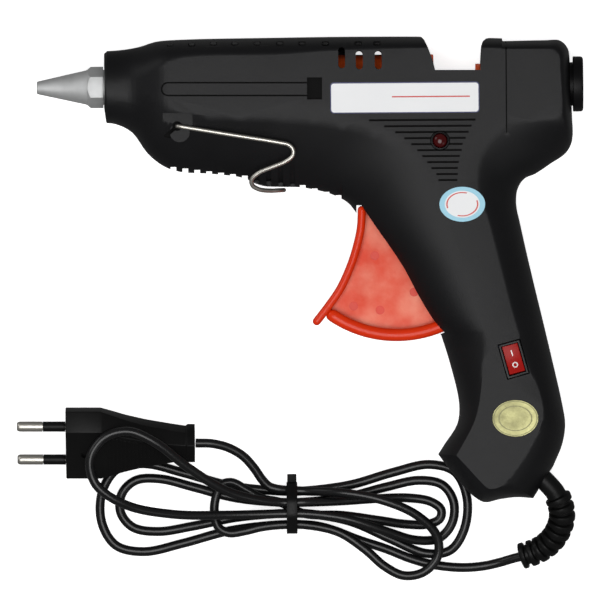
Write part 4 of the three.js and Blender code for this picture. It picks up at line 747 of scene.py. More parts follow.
# The keyhole's far end, half its width, its level, and the radius and level of its round hollow
KEYHOLE_PIXEL = (166.4, 136.2)
KEYHOLE_HALF = 0.75
KEYHOLE_LEVEL = 12.9
HOLLOW_RADIUS = 1.9
HOLLOW_LEVEL = 14.6
TRIGGER_HALF = 7.5
CLAMP_PIXEL = (521, 458)
CLAMP_REACH = 5.2 * sqrt(0.5)
CLAMP_POST_RADIUS = 2.4
CLAMP_PILOT_RADIUS = 1.4
NOTCH = [
    (416, 20), (418.5, 36.4), (421.5, 37.6), (424, 40.5), (427.5, 48), (432.4, 61), (434.7, 70.5),
    (479.8, 70.5), (480.6, 54), (481.2, 46), (482.6, 41.6), (485.5, 39), (489.5, 38), (490, 20),
]
TRIGGER_SLOT = [
    (356.4, 226), (356.4, 205.3), (366.6, 205.3), (368, 196), (372, 192), (404, 200), (432, 250), (462, 310),
    (466, 320.5), (455, 327.2), (444, 332.6), (436, 335.6), (418, 350), (380, 330), (340, 260),
]
SIDE_SLOTS = [(338, 345, 48, 69), (355.5, 362.7, 51, 70), (374.5, 381.6, 51, 70)]
STAND_RECESS = [(163, 113.5), (193, 113.5), (193, 142), (163, 142)]
POCKET = [(307, 78), (322, 78), (322, 100), (307, 100)]
POCKET_DEPTH = 1.2
# First pixel, count, level of the first and its fall per pixel
LOWER_NOTCHES = [(170.6, 7, 167.2, 0.12), (299.8, 4, 185.3, 0.28)]
NOTCH_PITCH = 11.9
NOTCH_WIDTH = 5.8
NOTCH_HEIGHT = 3.1
NOTCH_LEVEL = 9
FLUTES = [(170.6, 7, 167.2), (253.9, 4, 178), (301.5, 4, 182)]
# The flutes' section: pixel level and level over the seam
FLUTE_PROFILE = [(143, 11.6), (150, 9.9), (160, 6.8), (166, 4.3), (172, 0.2), (186, 0.2), (186, 16),
                 (143, 16)]
# The top marks in pixels: columns, half width, lower and upper row; and the level where they start
TOP_MARKS = [170.6, 192, 213.6, 235, 257.3, 279.8, 302, 325.3, 358, 376.8]
TOP_MARK_HALF = 3.6
TOP_MARK_ROWS = (46.4, 42)
TOP_MARK_LEVEL = 11.2
SEAM_LINE_PIXEL = 505.7
SEAM_LINE_HALF = 0.24
# Levels of the screw heads' seats: less at the narrow front
FRONT_SEAT = 6
SEAT = 9
SCREW_POST_RADIUS = 3.9
SCREW_HOLE_RADIUS = 1.7
SCREW_HEAD_RADIUS = 3.2
PILOT_RADIUS = 1.6
PIVOT_PIN_HOLE = 2.3
PIVOT_HOLE_END = 10.8
PIVOT_POST_RADIUS = 4.4
# The room round the chamber and the glue stick, and the wider one of the carriage
CORE_RADIUS = 8.8
CARRIAGE_ROOM = 12.3
RIB_THICKNESS = 1.8
# Ribs across the barrel: start, radius of the hole and lower end
RIBS = [(11, CORE_RADIUS, -18.5), (48.6, CORE_RADIUS, -18.5), (102.2, CARRIAGE_ROOM, -8),
        (120.6, CARRIAGE_ROOM, -8), (152, CORE_RADIUS, -18.5)]
LINE_DEPTH = 0.8
# The sunk rows by the indicator: pixel level of the first, pitch in pixels, height in millimetres, ends
GROOVE_TOP = 119.8
GROOVE_PITCH = 5.96
GROOVE_HEIGHT = 0.8
GROOVE_LEFT = [369, 384, 395, 404, 411, 417, 422, 427, 431, 436, 438]
GROOVE_RIGHT = [475, 471, 468, 465, 462, 461, 459, 458, 457, 457, 456.5]
SWITCH_PIXEL = (513, 359)
SWITCH_TILT = radians(15.4)
SWITCH_SIZE = (8.6, 13.6)
INDICATOR_PIXEL = (439.7, 141)
BEZEL_RADIUS = 3.5
OPENING_DEPTH = 4.4


def rounded(u0, u1, v0, v1, steps=8):
    """Outline of an upright slot with round ends, in gun millimetres."""
    (x0, top), (x1, _), (_, bottom) = at(u0, v0), at(u1, v1), at(u0, v1)
    radius, middle = (x1 - x0) / 2, (x0 + x1) / 2
    upper = arc(middle, top - radius, radius, 0, pi, steps)
    return upper + arc(middle, bottom + radius, radius, pi, 2 * pi, steps)


def opening_cuts():
    """The openings that both halves share, none touching another."""
    shape = prism(NOTCH, UNDER, OVER)
    prism(TRIGGER_SLOT, UNDER, TRIGGER_HALF + 2 * FIT, shape)
    prism(STAND_RECESS, STAND_FLOOR, OVER, shape)
    disc(CORE_RADIUS, -2, COLLAR_WALL + 2, 64, shape)
    disc(CORE_RADIUS, REAR_FACE + FIT - 3 * WALL, REAR_FACE + 2.3, 64, shape)
    for slot in SIDE_SLOTS[1:]:
        slab(rounded(*slot), 0, OVER, shape)
    prism(POCKET, PANEL - POCKET_DEPTH, OVER, shape)
    for start, count, level, slope in LOWER_NOTCHES:
        for i in range(count):
            u = start + i * NOTCH_PITCH
            v = level + slope * i * NOTCH_PITCH
            (x0, y0), (x1, _) = at(u, v), at(u + NOTCH_WIDTH, v)
            block(x0, x1, y0 - NOTCH_HEIGHT, y0, 0, NOTCH_LEVEL, shape)
    return shape


def collar_edge():
    """Rounds the collar's front edge, which leans back a little at the bottom."""
    shape = turned([(-1, 12.4), (0, 12.7), (0.15, 13.1), (0.5, 13.5), (1, 13.8), (1.6, 15), (-1, 16),
                    (-1, 12.4)], 96)
    lean = prism([(99, 106), (104.2, 106), (106.6, 124), (106.6, 130), (99, 130)], -2, PANEL)
    return shape, lean


def round_cuts():
    """The round holes that run into those openings."""
    shape = rod(STAND_WIRE / 2 + FIT, *at(*STAND_PIXEL), STAND_HOLE_FROM, OVER, 24)
    rod(PIVOT_PIN_HOLE, *at(*PIVOT_PIXEL), 0, PIVOT_HOLE_END, 32, shape)
    inside, outside = (Vector((*at(*pixel), 0)) for pixel in CORD_HOLE_PIXELS)
    place = facing((inside + outside) / 2, outside - inside)
    return bar(CORD_HOLE_RADIUS, CORD_HOLE_LENGTH, place, 40, shape)


def inner_parts():
    """Posts, ribs and pads inside a half shell, before the wall trims them."""
    posts = bmesh.new()
    for pixel in SCREW_PIXELS:
        rod(SCREW_POST_RADIUS, *at(*pixel), SEAM, PANEL, 32, posts)
    rod(PIVOT_POST_RADIUS, *at(*PIVOT_PIXEL), TRIGGER_HALF + 2 * FIT, PANEL, 32, posts)
    radius, low = STAND_POST
    rod(radius, *at(*STAND_PIXEL), low, PANEL, 24, posts)
    ribs, holes = bmesh.new(), bmesh.new()
    for start, hole, low in RIBS:
        block(start, start + RIB_THICKNESS, low, HOUSING_LENGTH, SEAM, PANEL, ribs)
        disc(hole, start - 2, start + RIB_THICKNESS + 2, 64, holes)
    return posts, ribs, holes


def switch_block(width, length, low, high, shape=None):
    """An upright block turned with the switch."""
    x, y = at(*SWITCH_PIXEL)
    turn = Matrix.Rotation(SWITCH_TILT, 2)
    corners = [Vector((side * width / 2, end * length / 2))
               for side, end in ((-1, -1), (1, -1), (1, 1), (-1, 1))]
    return slab([tuple(Vector((x, y)) + turn @ corner) for corner in corners], low, high, shape)


def housing_half(own_cuts, own_posts=None):
    """One hollow half: the outer form less the cavity, with the inner parts, then cut open."""
    coarse = outline_stations(2)
    posts, ribs, holes = inner_parts()
    middle = half_body(drawn_in(coarse, WALL / 2), SEAM, PANEL - WALL / 2, COLLAR_WALL / 2, 6)
    steps = [("UNION", ribs), ("UNION", prism(STAND_RECESS, STAND_FLOOR - STAND_WALL, PANEL))]
    if own_posts:
        steps.append(("UNION", own_posts))
    inner = to_bmesh(carve(posts, [*steps, holes, ("INTERSECT", middle)], 28))
    outer = half_body(outline_stations(4), SEAM, PANEL)
    cavity = half_body(drawn_in(coarse, WALL), UNDER, PANEL - WALL, COLLAR_WALL, 8)
    return carve(outer, [cavity, ("UNION", inner), opening_cuts(), round_cuts(), *collar_edge(), *own_cuts])


def seat_of(number):
    """Level of the screw head's seat, and depth of the pilot hole in the other half."""
    return FRONT_SEAT if number == 0 else SEAT


def slot_line():
    """The thin line moulded round the long slot shape on the panel."""
    middle_v, left, right = 89.7, 168.4, 307.4
    outer, inner = ([at(right, middle_v - radius),
                     *[at(u, -v) for u, v in arc(left, -middle_v, radius, pi / 2, 3 * pi / 2, 12)],
                     at(right, middle_v + radius)] for radius in (7.2, 5.6))
    return slab(outer + inner[::-1], PANEL - LINE_DEPTH, OVER)


def flutes():
    """Shallow upright grooves down the slope of the lower barrel."""
    shape = bmesh.new()
    for start, count, low_v in FLUTES:
        for i in range(count):
            u = start + i * NOTCH_PITCH
            x0, x1 = at(u + 0.6, low_v)[0], at(u + NOTCH_WIDTH - 0.6, low_v)[0]
            shift = 0.1 * (u - 170) + max(0, u - 290) * 0.25
            side_slab([(at(u, v + shift)[1], z) for v, z in FLUTE_PROFILE], x0, x1, shape)
    return shape


def top_marks():
    """The row of small pockets along the barrel's top edge."""
    shape = bmesh.new()
    for u in TOP_MARKS:
        lower, upper = TOP_MARK_ROWS
        (x0, y0), (x1, y1) = at(u - TOP_MARK_HALF, lower), at(u + TOP_MARK_HALF, upper)
        fall = 0.36 if u < 200 else 0
        block(x0, x1, y0 - fall, y1 - fall, TOP_MARK_LEVEL, PANEL, shape)
    return soften(shape, 0.5, 40)


def seam_line():
    """The upright parting line in front of the rear block, over the top and down the side."""
    profile = [(38, 0.6), (42.8, 0.6), (43.4, 8), (45, 12.4), (47.6, 16.2), (50.5, 17.9), (134, 17.9),
               (134, 20.5), (38, 20.5)]
    x, _ = at(SEAM_LINE_PIXEL, 90)
    return side_slab([(at(SEAM_LINE_PIXEL, v)[1], z) for v, z in profile], x - SEAM_LINE_HALF,
                     x + SEAM_LINE_HALF)


def stand_slot():
    """The slanted keyhole that the stand's end is sprung in through, and the round hollow at its end."""
    (x0, y0), (x1, y1) = at(*KEYHOLE_PIXEL), at(*STAND_PIXEL)
    along = Vector((x1 - x0, y1 - y0)).normalized() * KEYHOLE_HALF
    corners = [(x0 - along.y, y0 + along.x), (x0 + along.y, y0 - along.x),
               (x1 + along.y, y1 - along.x), (x1 - along.y, y1 + along.x)]
    hollow = rod(HOLLOW_RADIUS, *at(*STAND_PIXEL), HOLLOW_LEVEL, OVER, 32)
    return slab(corners, KEYHOLE_LEVEL, OVER), hollow


def left_half():
    grooves = bmesh.new()
    for i, (left, right) in enumerate(zip(GROOVE_LEFT, GROOVE_RIGHT)):
        x0, y0 = at(left, GROOVE_TOP + GROOVE_PITCH * i)
        x1, _ = at(right, GROOVE_TOP)
        block(x0, x1, y0 - GROOVE_HEIGHT, y0, PANEL - LINE_DEPTH, OVER, grooves)
    width, length = SWITCH_SIZE
    rest = switch_block(width + 2 * FIT, length + 2 * FIT, PANEL - OPENING_DEPTH, PANEL + OPENING_DEPTH)
    bezel = rod(BEZEL_RADIUS + FIT, *at(*INDICATOR_PIXEL), PANEL - OPENING_DEPTH, OVER, 40)
    pilots = bmesh.new()
    for i, pixel in enumerate(SCREW_PIXELS):
        rod(PILOT_RADIUS, *at(*pixel), UNDER, seat_of(i), 16, pilots)
    pad = rod(3.9, *at(180, 132.6), STAND_FLOOR - 5, STAND_FLOOR, 40)
    first_slot = slab(rounded(*SIDE_SLOTS[0]), 0, OVER)
    return housing_half([("UNION", pad), first_slot, grooves, rest, bezel, pilots, slot_line(), flutes(),
                         top_marks(), seam_line(), *stand_slot()])


def right_half():
    holes, heads = bmesh.new(), bmesh.new()
    for i, pixel in enumerate(SCREW_PIXELS):
        rod(SCREW_HOLE_RADIUS, *at(*pixel), UNDER, seat_of(i) + 0.5, 20, holes)
        rod(SCREW_HEAD_RADIUS, *at(*pixel), seat_of(i), OVER, 40, heads)
    posts, bores = bmesh.new(), bmesh.new()
    x, y = at(*CLAMP_PIXEL)
    for side in (-CLAMP_REACH, CLAMP_REACH):
        rod(CLAMP_POST_RADIUS, x + side, y + side, CORD_DIAMETER / 2, PANEL, 24, posts)
        rod(CLAMP_PILOT_RADIUS, x + side, y + side, UNDER, 10, 16, bores)
    return housing_half([holes, heads, bores], posts)


def in_sunk_line(place):
    """Whether a place lies in a row, the slot's line, the pocket, the seam's line or the stand's keyhole."""
    u, v = pixel_of(place.x, place.y)
    sunk = PANEL * width_share(place.x) - place.z
    row, below = divmod(v - GROOVE_TOP + 0.5, GROOVE_PITCH)
    row = int(row)
    in_row = (0 <= row < len(GROOVE_LEFT) and below < 3.2
              and GROOVE_LEFT[row] - 0.5 < u < GROOVE_RIGHT[row] + 0.5)
    in_slot_line = 160 < u < 322.3 and 77.7 < v < 100.3
    in_seam_line = abs(u - SEAM_LINE_PIXEL) < 0.8 and v < 135
    away = (Vector(at(*STAND_PIXEL)) - place.to_2d()).length
    in_hole = away < HOLLOW_RADIUS + 0.2 and 14 < place.z < 15.8
    in_keyhole = 12.4 < place.z < KEYHOLE_LEVEL + 0.2 and 163 < u < 180 and 124 < v < 139
    return 0.15 < sunk < 2 and (in_row or in_slot_line or in_seam_line) or in_hole or in_keyhole


def second_material(made, material, chosen):
    """Gives a piece's chosen faces another material; the choice is made in gun millimetres."""
    made.data.materials.append(material)
    for face in made.data.polygons:
        if chosen(face.center / MM - GUN_ZERO, face.normal):
            face.material_index = 1


left_shell = piece("left_shell", left_half(), black_abs, "housing_left")
flat_first(left_shell)
# The floors of the sunk lines, the keyhole and the stand's hollow get the darker black of painted shade
second_material(left_shell, sunk_floor_painted_shade, lambda place, normal: in_sunk_line(place))
right_mesh = right_half()
right_mesh.transform(Matrix.Scale(-1, 4, (0, 0, 1)))
right_mesh.flip_normals()
right_shell = piece("right_shell", right_mesh, black_abs, "housing_right")
flat_first(right_shell)

# Pieces whose CAD shape is right get their material

CAD_FINISHES = [
    (aluminium, ["heating_chamber"]),
    (silicone, ["front_support_ring", "inlet_sleeve"]),
    (ceramic, ["heater_plate"]),
    (zinc_steel, ["heater_clip", "sleeve_clip_ring", "drive_pin", "gripper_pin", "gripper_pawl",
                  "trigger_pivot_pin", "clamp_screw_1", "clamp_screw_2",
                  *[f"housing_screw_{i}" for i in range(1, 9)]]),
    (nickel, ["switch_terminal_1", "switch_terminal_2"]),
    (white_mark, ["indicator_body"]),
    (cord_pvc, ["cord_inner_end"]),
    (smooth_abs, ["cord_clamp"]),
    (red_lead, ["live_lead", "switched_lead"]),
    (blue_lead, ["neutral_lead"]),
]
for finish, nodes in CAD_FINISHES:
    for one in [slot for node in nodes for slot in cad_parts[node].material_slots]:
        one.link = "OBJECT"
        one.material = finish


# Nozzle, feed carriage and rear guide ring

NUT_HEIGHT = 14
NUT_LENGTH = 4.8
MELT_BORE = 3.24
TIP_BORE = 1.2
STUB_RADIUS = 6.8
THREAD_RADIUS = 4.5
TRIGGER_TRAVEL = radians(23)
DRIVE_DROP = 13.6
pivot_x, pivot_y = at(*PIVOT_PIXEL)
arm_length = -pivot_y - DRIVE_DROP
DRIVE_PIN = (pivot_x + arm_length * sin(TRIGGER_TRAVEL / 2), -DRIVE_DROP)
GRIPPER_PIN = (DRIVE_PIN[0] - 12, -12.4)
DRIVE_PIN_RADIUS = 1.8
GRIPPER_PIN_RADIUS = 1.3
CARRIAGE_FRONT = 90.5
CARRIAGE_REAR = 146.59
CARRIAGE_TUBE_END = 128.41
CARRIAGE_RING_START = 144.72


def nozzle():
    """A turned cone that runs up onto a six-sided rod, so that each side starts in a curve, bored through."""
    corner = NUT_HEIGHT / sqrt(3)
    sides = disc(corner, -NOZZLE_LENGTH - 1, -FIT, 6)
    cone = turned([(-NOZZLE_LENGTH, 0), (-NOZZLE_LENGTH, 2.2), (-NOZZLE_LENGTH + 0.3, 2.5), (-7.3, 6.6),
                   (-6.6, 6.85), (-NUT_LENGTH, corner + 0.3), (-FIT, corner + 0.3), (-FIT, 0)], 128)
    stub = turned([(-NUT_LENGTH, 0), (-NUT_LENGTH, STUB_RADIUS), (0.9, STUB_RADIUS), (0.9, THREAD_RADIUS),
                   (9.9, THREAD_RADIUS), (9.9, 0)], 96)
    bore = turned([(-NOZZLE_LENGTH - 1, 0), (-NOZZLE_LENGTH - 1, TIP_BORE), (-18.9, TIP_BORE),
                   (-NUT_LENGTH, MELT_BORE), (11, MELT_BORE), (11, 0)], 48)
    return carve(sides, [("INTERSECT", cone), ("UNION", stub), bore], 20, 0.1)


def feed_carriage():
    """The tube round the spring, joined by two rails to its rear ring, with cheeks for the pins."""
    front = turned([(CARRIAGE_FRONT, 9.6), (CARRIAGE_FRONT, 11.6), (CARRIAGE_FRONT + 0.4, 12), (128, 12),
                    (CARRIAGE_TUBE_END, 11.6), (CARRIAGE_TUBE_END, 9.6), (CARRIAGE_FRONT, 9.6)], 96)
    ring = turned([(CARRIAGE_RING_START, 6.2), (CARRIAGE_RING_START, 8.2), (CARRIAGE_REAR, 8.2),
                   (CARRIAGE_REAR, 6.2), (CARRIAGE_RING_START, 6.2)])
    rails, cheeks = bmesh.new(), bmesh.new()
    for side in (-1, 1):
        block(122.4, CARRIAGE_REAR, -3, 3, *sorted((side * 6.5, side * 10.6)), rails)
        block(GRIPPER_PIN[0] - 4, DRIVE_PIN[0] + 4, -17, -8, *sorted((side * 4.4, side * 6.8)), cheeks)
    slot = block(GRIPPER_PIN[0] - 3, DRIVE_PIN[0] + 5.1, -14, 0, -4.4, 4.4)
    pins = rod(DRIVE_PIN_RADIUS, *DRIVE_PIN, -12, 12, 24)
    rod(GRIPPER_PIN_RADIUS, *GRIPPER_PIN, -12, 12, 24, pins)
    return carve(front, [("UNION", ring), ("UNION", rails), ("UNION", cheeks), slot, pins], 32, 0.12)


def guide_ring():
    """The ring that the glue stick goes in through, with a rounded flange and a flared mouth."""
    return to_mesh(turned([
        (146.89, 5.9), (146.89, 8.5), (178.3, 8.5), (178.3, 10.25), (180.5, 10.25), (180.5, 8.5),
        (182.7, 8.5), (182.7, 10.55), (182.9, 10.75), (185.6, 10.75), (186.15, 10.62), (186.5, 10.3),
        (186.7, 9.75), (186.7, 6.9), (186.4, 6.3), (185.6, 5.9), (146.89, 5.9)], 128), 28)


piece("nozzle_finished", nozzle(), aluminium, "nozzle")
piece("feed_carriage_finished", feed_carriage(), orange_feed_painted_light, "feed_carriage", "feed")
piece("guide_ring_finished", guide_ring(), smooth_abs, "rear_guide_ring")


# Return spring: open curls round the inlet sleeve, at one length; in the gun the carriage shortens it as the
# trigger is pulled

SPRING_WIRE = 1
SPRING_RADIUS = 10.4
SPRING_CURLS = 7
spring_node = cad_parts["return_spring"]
spring_ends = sorted((spring_node.matrix_world @ Vector(corner)).x for corner in spring_node.bound_box)
SPRING_START = spring_ends[0] / MM - GUN_ZERO.x + SPRING_WIRE / 2
SPRING_END = spring_ends[-1] / MM - GUN_ZERO.x - SPRING_WIRE / 2


def return_spring():
    steps = 16 * SPRING_CURLS
    turns = arc(0, 0, SPRING_RADIUS, 0, 2 * pi * SPRING_CURLS, steps)
    return wire_mesh([(SPRING_START + (SPRING_END - SPRING_START) * i / steps, y, z)
                      for i, (y, z) in enumerate(turns)], SPRING_WIRE, 10)


spring_piece = piece("return_spring_finished", return_spring(), zinc_steel, "return_spring")
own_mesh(spring_piece)


# Trigger: a rounded finger strip and a rounded band, a thin web between them, a hub and the drive arm

STRIP_PIXELS = [
    (357.5, 206), (357.5, 216), (356.5, 229), (352, 248.6), (346.6, 265), (336.8, 286.5), (325.6, 303),
    (311, 322),
]
STRIP_THICKNESS = 3.2
BAND_RADIUS = 47
BAND_THICKNESS = 4.9
BAND_ANGLES = (radians(-127.5), radians(-58))
WEB_PIXELS = [(362, 210), (361, 230), (350, 267), (340, 288.5), (326, 309)]
WEB_THICKNESS = 2.6
HUB_RADIUS = 5.5
ARM_WIDTH = 8.4
ARM_THICKNESS = 5.2
EJECTOR_PIXELS = [(374.7, 255.6), (353.6, 306), (380, 310), (414, 292)]
EJECTOR_RADIUS = 1.75
EJECTOR_DEPTH = 0.35
# The arm's fork: half its slot and how far it reaches past the drive pin
FORK_SLOT = 1.8
FORK_REACH = 3


def rounded_bar(line, thickness, crest):
    """A bar along a flat line, as wide as the trigger, with domed crests and rounded ends."""
    half = thickness / 2
    stations = [(place, direction_at(line, i), 0) for i, place in enumerate(line)]
    for end, sign in ((0, -1), (-1, 1)):
        place, along, _ = stations[end]
        shrunk = [(place + along * sign * half * (sin(t) - 1), along, 1 - cos(t))
                  for t in (radians(a) for a in (20, 40, 60, 78))]
        inner = [s for s in stations if (s[0] - place).length > half * 0.8]
        stations = shrunk[::-1] + inner if end == 0 else inner + shrunk
    rings = []
    for place, along, less in stations:
        across = Vector((-along.y, along.x))
        ring = []
        for side in (1, -1):
            for k in range(9):
                a = pi * k / 8
                x, y = place + across * side * half * (1 - less) * cos(a)
                ring.append((x, y, side * (TRIGGER_HALF - half * less - crest * (1 - sin(a)))))
        rings.append(ring)
    return lofted(rings)


def trigger():
    """Strip, band, web, hub and the forked arm that pushes the carriage's drive pin."""
    outer = [p.to_2d() for p in spline([(*at(u, v), 0) for u, v in STRIP_PIXELS], 6)]
    middle = []
    for i, point in enumerate(outer):
        along = direction_at(outer, i)
        middle.append(point + Vector((-along.y, along.x)) * STRIP_THICKNESS / 2)
    strip = rounded_bar(middle, STRIP_THICKNESS, 1.5)
    start, end = BAND_ANGLES
    band_arc = pivot_x, pivot_y, BAND_RADIUS - BAND_THICKNESS / 2
    band = rounded_bar([Vector(p) for p in arc(*band_arc, start, end, 56)], BAND_THICKNESS, 1.9)
    rim = arc(*band_arc, start + 0.06, end, 30)
    web = slab([at(u, v) for u, v in WEB_PIXELS] + rim + [
        (pivot_x + HUB_RADIUS * 0.8, pivot_y), (pivot_x, pivot_y + HUB_RADIUS * 0.8)],
        -WEB_THICKNESS / 2, WEB_THICKNESS / 2)
    hub = soften(rod(HUB_RADIUS, pivot_x, pivot_y, -TRIGGER_HALF, TRIGGER_HALF, 48), 0.3)
    side, top, fork = ARM_WIDTH / 2, arm_length + FORK_REACH, arm_length - FORK_REACH
    outline = [(-side * 1.2, 0), (side * 1.2, 0), (side, top), (FORK_SLOT, top), (FORK_SLOT, fork),
               (-FORK_SLOT, fork), (-FORK_SLOT, top), (-side, top)]
    lean = TRIGGER_TRAVEL / 2
    arm = slab([(pivot_x + x * cos(lean) + y * sin(lean), pivot_y - x * sin(lean) + y * cos(lean))
                for x, y in outline], -ARM_THICKNESS / 2, ARM_THICKNESS / 2)
    marks = bmesh.new()
    for pixel in EJECTOR_PIXELS:
        rod(EJECTOR_RADIUS, *at(*pixel), WEB_THICKNESS / 2 - EJECTOR_DEPTH, WEB_THICKNESS / 2 + 1, 28, marks)
    hole = rod(PIVOT_PIN_HOLE, pivot_x, pivot_y, -PANEL, PANEL, 40)
    return carve(strip, [
        ("UNION", band), ("UNION", web), ("UNION", hub), ("UNION", arm), hole, marks], 34)


# The web's flat faces get the orange with pale clouds of painted sheen
second_material(
    piece("trigger_finished", trigger(), orange_pp, "trigger", "trigger"), orange_web_painted_sheen,
    lambda place, normal: abs(normal.z) > 0.95 and abs(abs(place.z) - WEB_THICKNESS / 2) < 0.1)


# Wire stand

STAND_LEG_PIXELS = [
    (177.5, 126.5), (177.5, 126.5), (178.2, 126.6), (180.8, 127), (187, 128), (232, 135.3), (280, 143.1),
    (288.6, 145.2), (293, 149.8), (292.6, 156), (286, 161.6), (272, 167.4), (259, 173), (251.8, 179.6),
    (252.6, 185.6), (259.6, 189.6), (270, 190.8), (280, 190.4),
]
STAND_HEIGHT_SHARES = [
    0.48, 0.895, 0.9766, 1.003, 1, 1, 0.9942, 0.9883, 0.9708,
    0.9474, 0.9123, 0.8538, 0.7836, 0.7135, 0.6199, 0.4912, 0.3158, 0.152,
]


def wire_stand():
    leg = [Vector((*at(*pixel), STAND_LEVEL * share))
           for pixel, share in zip(STAND_LEG_PIXELS, STAND_HEIGHT_SHARES)]
    middle = Vector((*at(284, 190.2), 0))
    other = [Vector((p.x, p.y, -p.z)) for p in reversed(leg)]
    return wire_mesh(spline([*leg, middle, *other], 10), STAND_WIRE, 20)


piece("wire_stand_finished", wire_stand(), nickel, "wire_stand", "stand")


# Rocker switch with its I and O, and the indicator

SWITCH_TOP = PANEL - FIT
ROCKER_HALF_LENGTH = 5.6
ROCKER_PANEL = 3.1
ROCKER_THROW = radians(8)
ROCKER_AXLE_LEVEL = PANEL - 2.1
# Height of the dished face over the axle, and how much more it has at the ends
DISH_LEVEL = 0.65
DISH_RISE = 0.85
FRAME_WALL = 0.9
FRAME_DEPTH = 11
FRAME_FLOOR = 5.2


def rocker_surface(y):
    return DISH_LEVEL + DISH_RISE * (y / ROCKER_HALF_LENGTH) ** 2


def on_rocker(shape):
    """Turns and moves a shape from the rocker's own place to the tilted switch."""
    place = (Matrix.Translation((*at(*SWITCH_PIXEL), 0)) @ Matrix.Rotation(SWITCH_TILT, 4, "Z")
             @ Matrix.Translation((0, 0, ROCKER_AXLE_LEVEL)) @ Matrix.Rotation(-ROCKER_THROW, 4, "X"))
    return moved(shape, place)


def rocker():
    long = ROCKER_HALF_LENGTH
    dish = [(long * k / 12, rocker_surface(long * k / 12)) for k in range(12, -13, -1)]
    profile = [(-long, -1), (-long * 0.22, -2.6), (long * 0.22, -2.6), (long, -1), *dish]
    return to_mesh(on_rocker(soften(
        side_slab(profile, -ROCKER_PANEL, ROCKER_PANEL), 0.22, 35, 3)), 28)


def rocker_marks():
    """The I and the O, bent to the rocker's dished face."""
    stroke = block(-0.2, 0.2, 1.2, 3.5, -0.1, 0.05)
    split(stroke, (0, 2.35, 0), (0, 1, 0))
    ring = turned([(-0.1, 0.72), (-0.1, 1.12), (0.05, 1.12), (0.05, 0.72), (-0.1, 0.72)], 40, (0, 0, 1))
    moved(ring, Matrix.Translation((0, -2.4, 0)))
    for name, shape in (("mark_on", stroke), ("mark_off", ring)):
        for vert in shape.verts:
            vert.co.z += rocker_surface(vert.co.y)
        yield name, to_mesh(on_rocker(shape), 40)


def switch_frame():
    """The switch's open case, with its rim at the panel."""
    width, length = SWITCH_SIZE
    inside = switch_block(width - 2 * FRAME_WALL, length - 2 * FRAME_WALL, SWITCH_TOP - FRAME_FLOOR, OVER)
    return carve(switch_block(width, length, SWITCH_TOP - FRAME_DEPTH, SWITCH_TOP), [inside], edge=0.22)


def upright(profile, pixel, angle=30):
    """A turned piece that stands on the panel."""
    return to_mesh(moved(turned(profile, 64, (0, 0, 1)), Matrix.Translation((*at(*pixel), 0))), angle)


piece("switch_frame_finished", switch_frame(), switch_plastic, "switch_body")
piece("rocker_finished", rocker(), switch_red, "switch_rocker", "rocker")
for name, mesh in rocker_marks():
    piece(name, mesh, white_mark, body="rocker")
piece("bezel_finished", upright([
    (16.3, 3.05), (16.3, BEZEL_RADIUS), (19, BEZEL_RADIUS), (19.22, 3.42), (19.3, 3.25), (19.3, 3.12),
    (19.2, 3.05), (16.3, 3.05)],
    INDICATOR_PIXEL), switch_plastic, "indicator_bezel")
dome = [tuple(p) for p in spline([
    (18.92, 2.75), (19.35, 2.62), (19.9, 2.2), (20.36, 1.4), (20.56, 0.6), (20.6, 0)], 4)]
piece("lens_finished", upright([(15.3, 0), (15.3, 2.75), *dome], INDICATOR_PIXEL, 40),
      lens_red, "indicator_lens")


# Label plate, oval badge and oval seal, all plain

PLATE_PIXELS = (330, 479, 83.2, 113)
BADGE_PIXEL = (461.8, 204.5)
SEAL_PIXEL = (514.7, 418)
# Levels of the films: the base, the print let into it, its finest print, and the top
FILM_BASE = PANEL + 0.02
PRINT_BASE = PANEL + 0.1
FINE_BASE = PANEL + 0.15
FILM_TOP = PANEL + 0.3


def rounded_plate(u0, u1, v0, v1, radius, low, high):
    (x0, y1), (x1, y0) = at(u0, v0), at(u1, v1)
    points = []
    for quarter, x, y in ((0, x1 - radius, y1 - radius), (1, x0 + radius, y1 - radius),
                          (2, x0 + radius, y0 + radius), (3, x1 - radius, y0 + radius)):
        points += arc(x, y, radius, pi / 2 * quarter, pi / 2 * (quarter + 1), 8)
    return slab(points, low, high)


def oval(pixel, width, height, low, high, inner=None, steps=96):
    """A flat oval, or a flat oval ring when the inner share is given."""
    x, y = at(*pixel)
    turns = [2 * pi * k / steps for k in range(steps)]
    outline = [(x + width / 2 * cos(a), y + height / 2 * sin(a)) for a in turns]
    shape = slab(outline, low, high)
    if inner is None:
        return shape
    smaller = [(x + (a - x) * inner, y + (b - y) * inner) for a, b in outline]
    return shape, slab(smaller, low - 1, high + 1)


def film(name, shape, material, node=None):
    piece(name, to_mesh(soften(shape, 0.05, 40, 1)), material, node)


u0, u1, v0, v1 = PLATE_PIXELS
film("label_base", rounded_plate(u0, u1, v0, v1, 1.4, FILM_BASE, FILM_TOP - 0.06),
     blue_edge, "label_plate")
film("label_face", rounded_plate(u0 + 1, u1 - 1, v0 + 1.1, v1 - 0.9, 1.15, PRINT_BASE, FILM_TOP - 0.01),
     white_print)
film("label_rule", rounded_plate(391.5, 469.5, 96.6, 97.6, 0.15, FINE_BASE, FILM_TOP),
     red_print)
film("badge_base", oval(BADGE_PIXEL, 17.8, 13.6, FILM_BASE, FILM_TOP - 0.04),
     pale_blue, "power_badge")
film("badge_face", oval(BADGE_PIXEL, 13.6, 10.5, PRINT_BASE, FILM_TOP),
     white_print)
arcs, hole = oval(BADGE_PIXEL, 12.5, 9.5, FINE_BASE, FILM_TOP + 0.02, 0.91)
gap = slab([(-9, -2.3), (9, -2.3), (9, 2.3), (-9, 2.3)], PANEL - 1, OVER)
moved(gap, Matrix.Translation((*at(*BADGE_PIXEL), 0)) @ Matrix.Rotation(radians(38), 4, "Z"))
piece("badge_arcs", carve(arcs, [hole, gap]), red_print)
film("seal_base", oval(SEAL_PIXEL, 17.8, 14.2, FILM_BASE, FILM_TOP - 0.08),
     gold_foil_painted_glints, "check_seal")
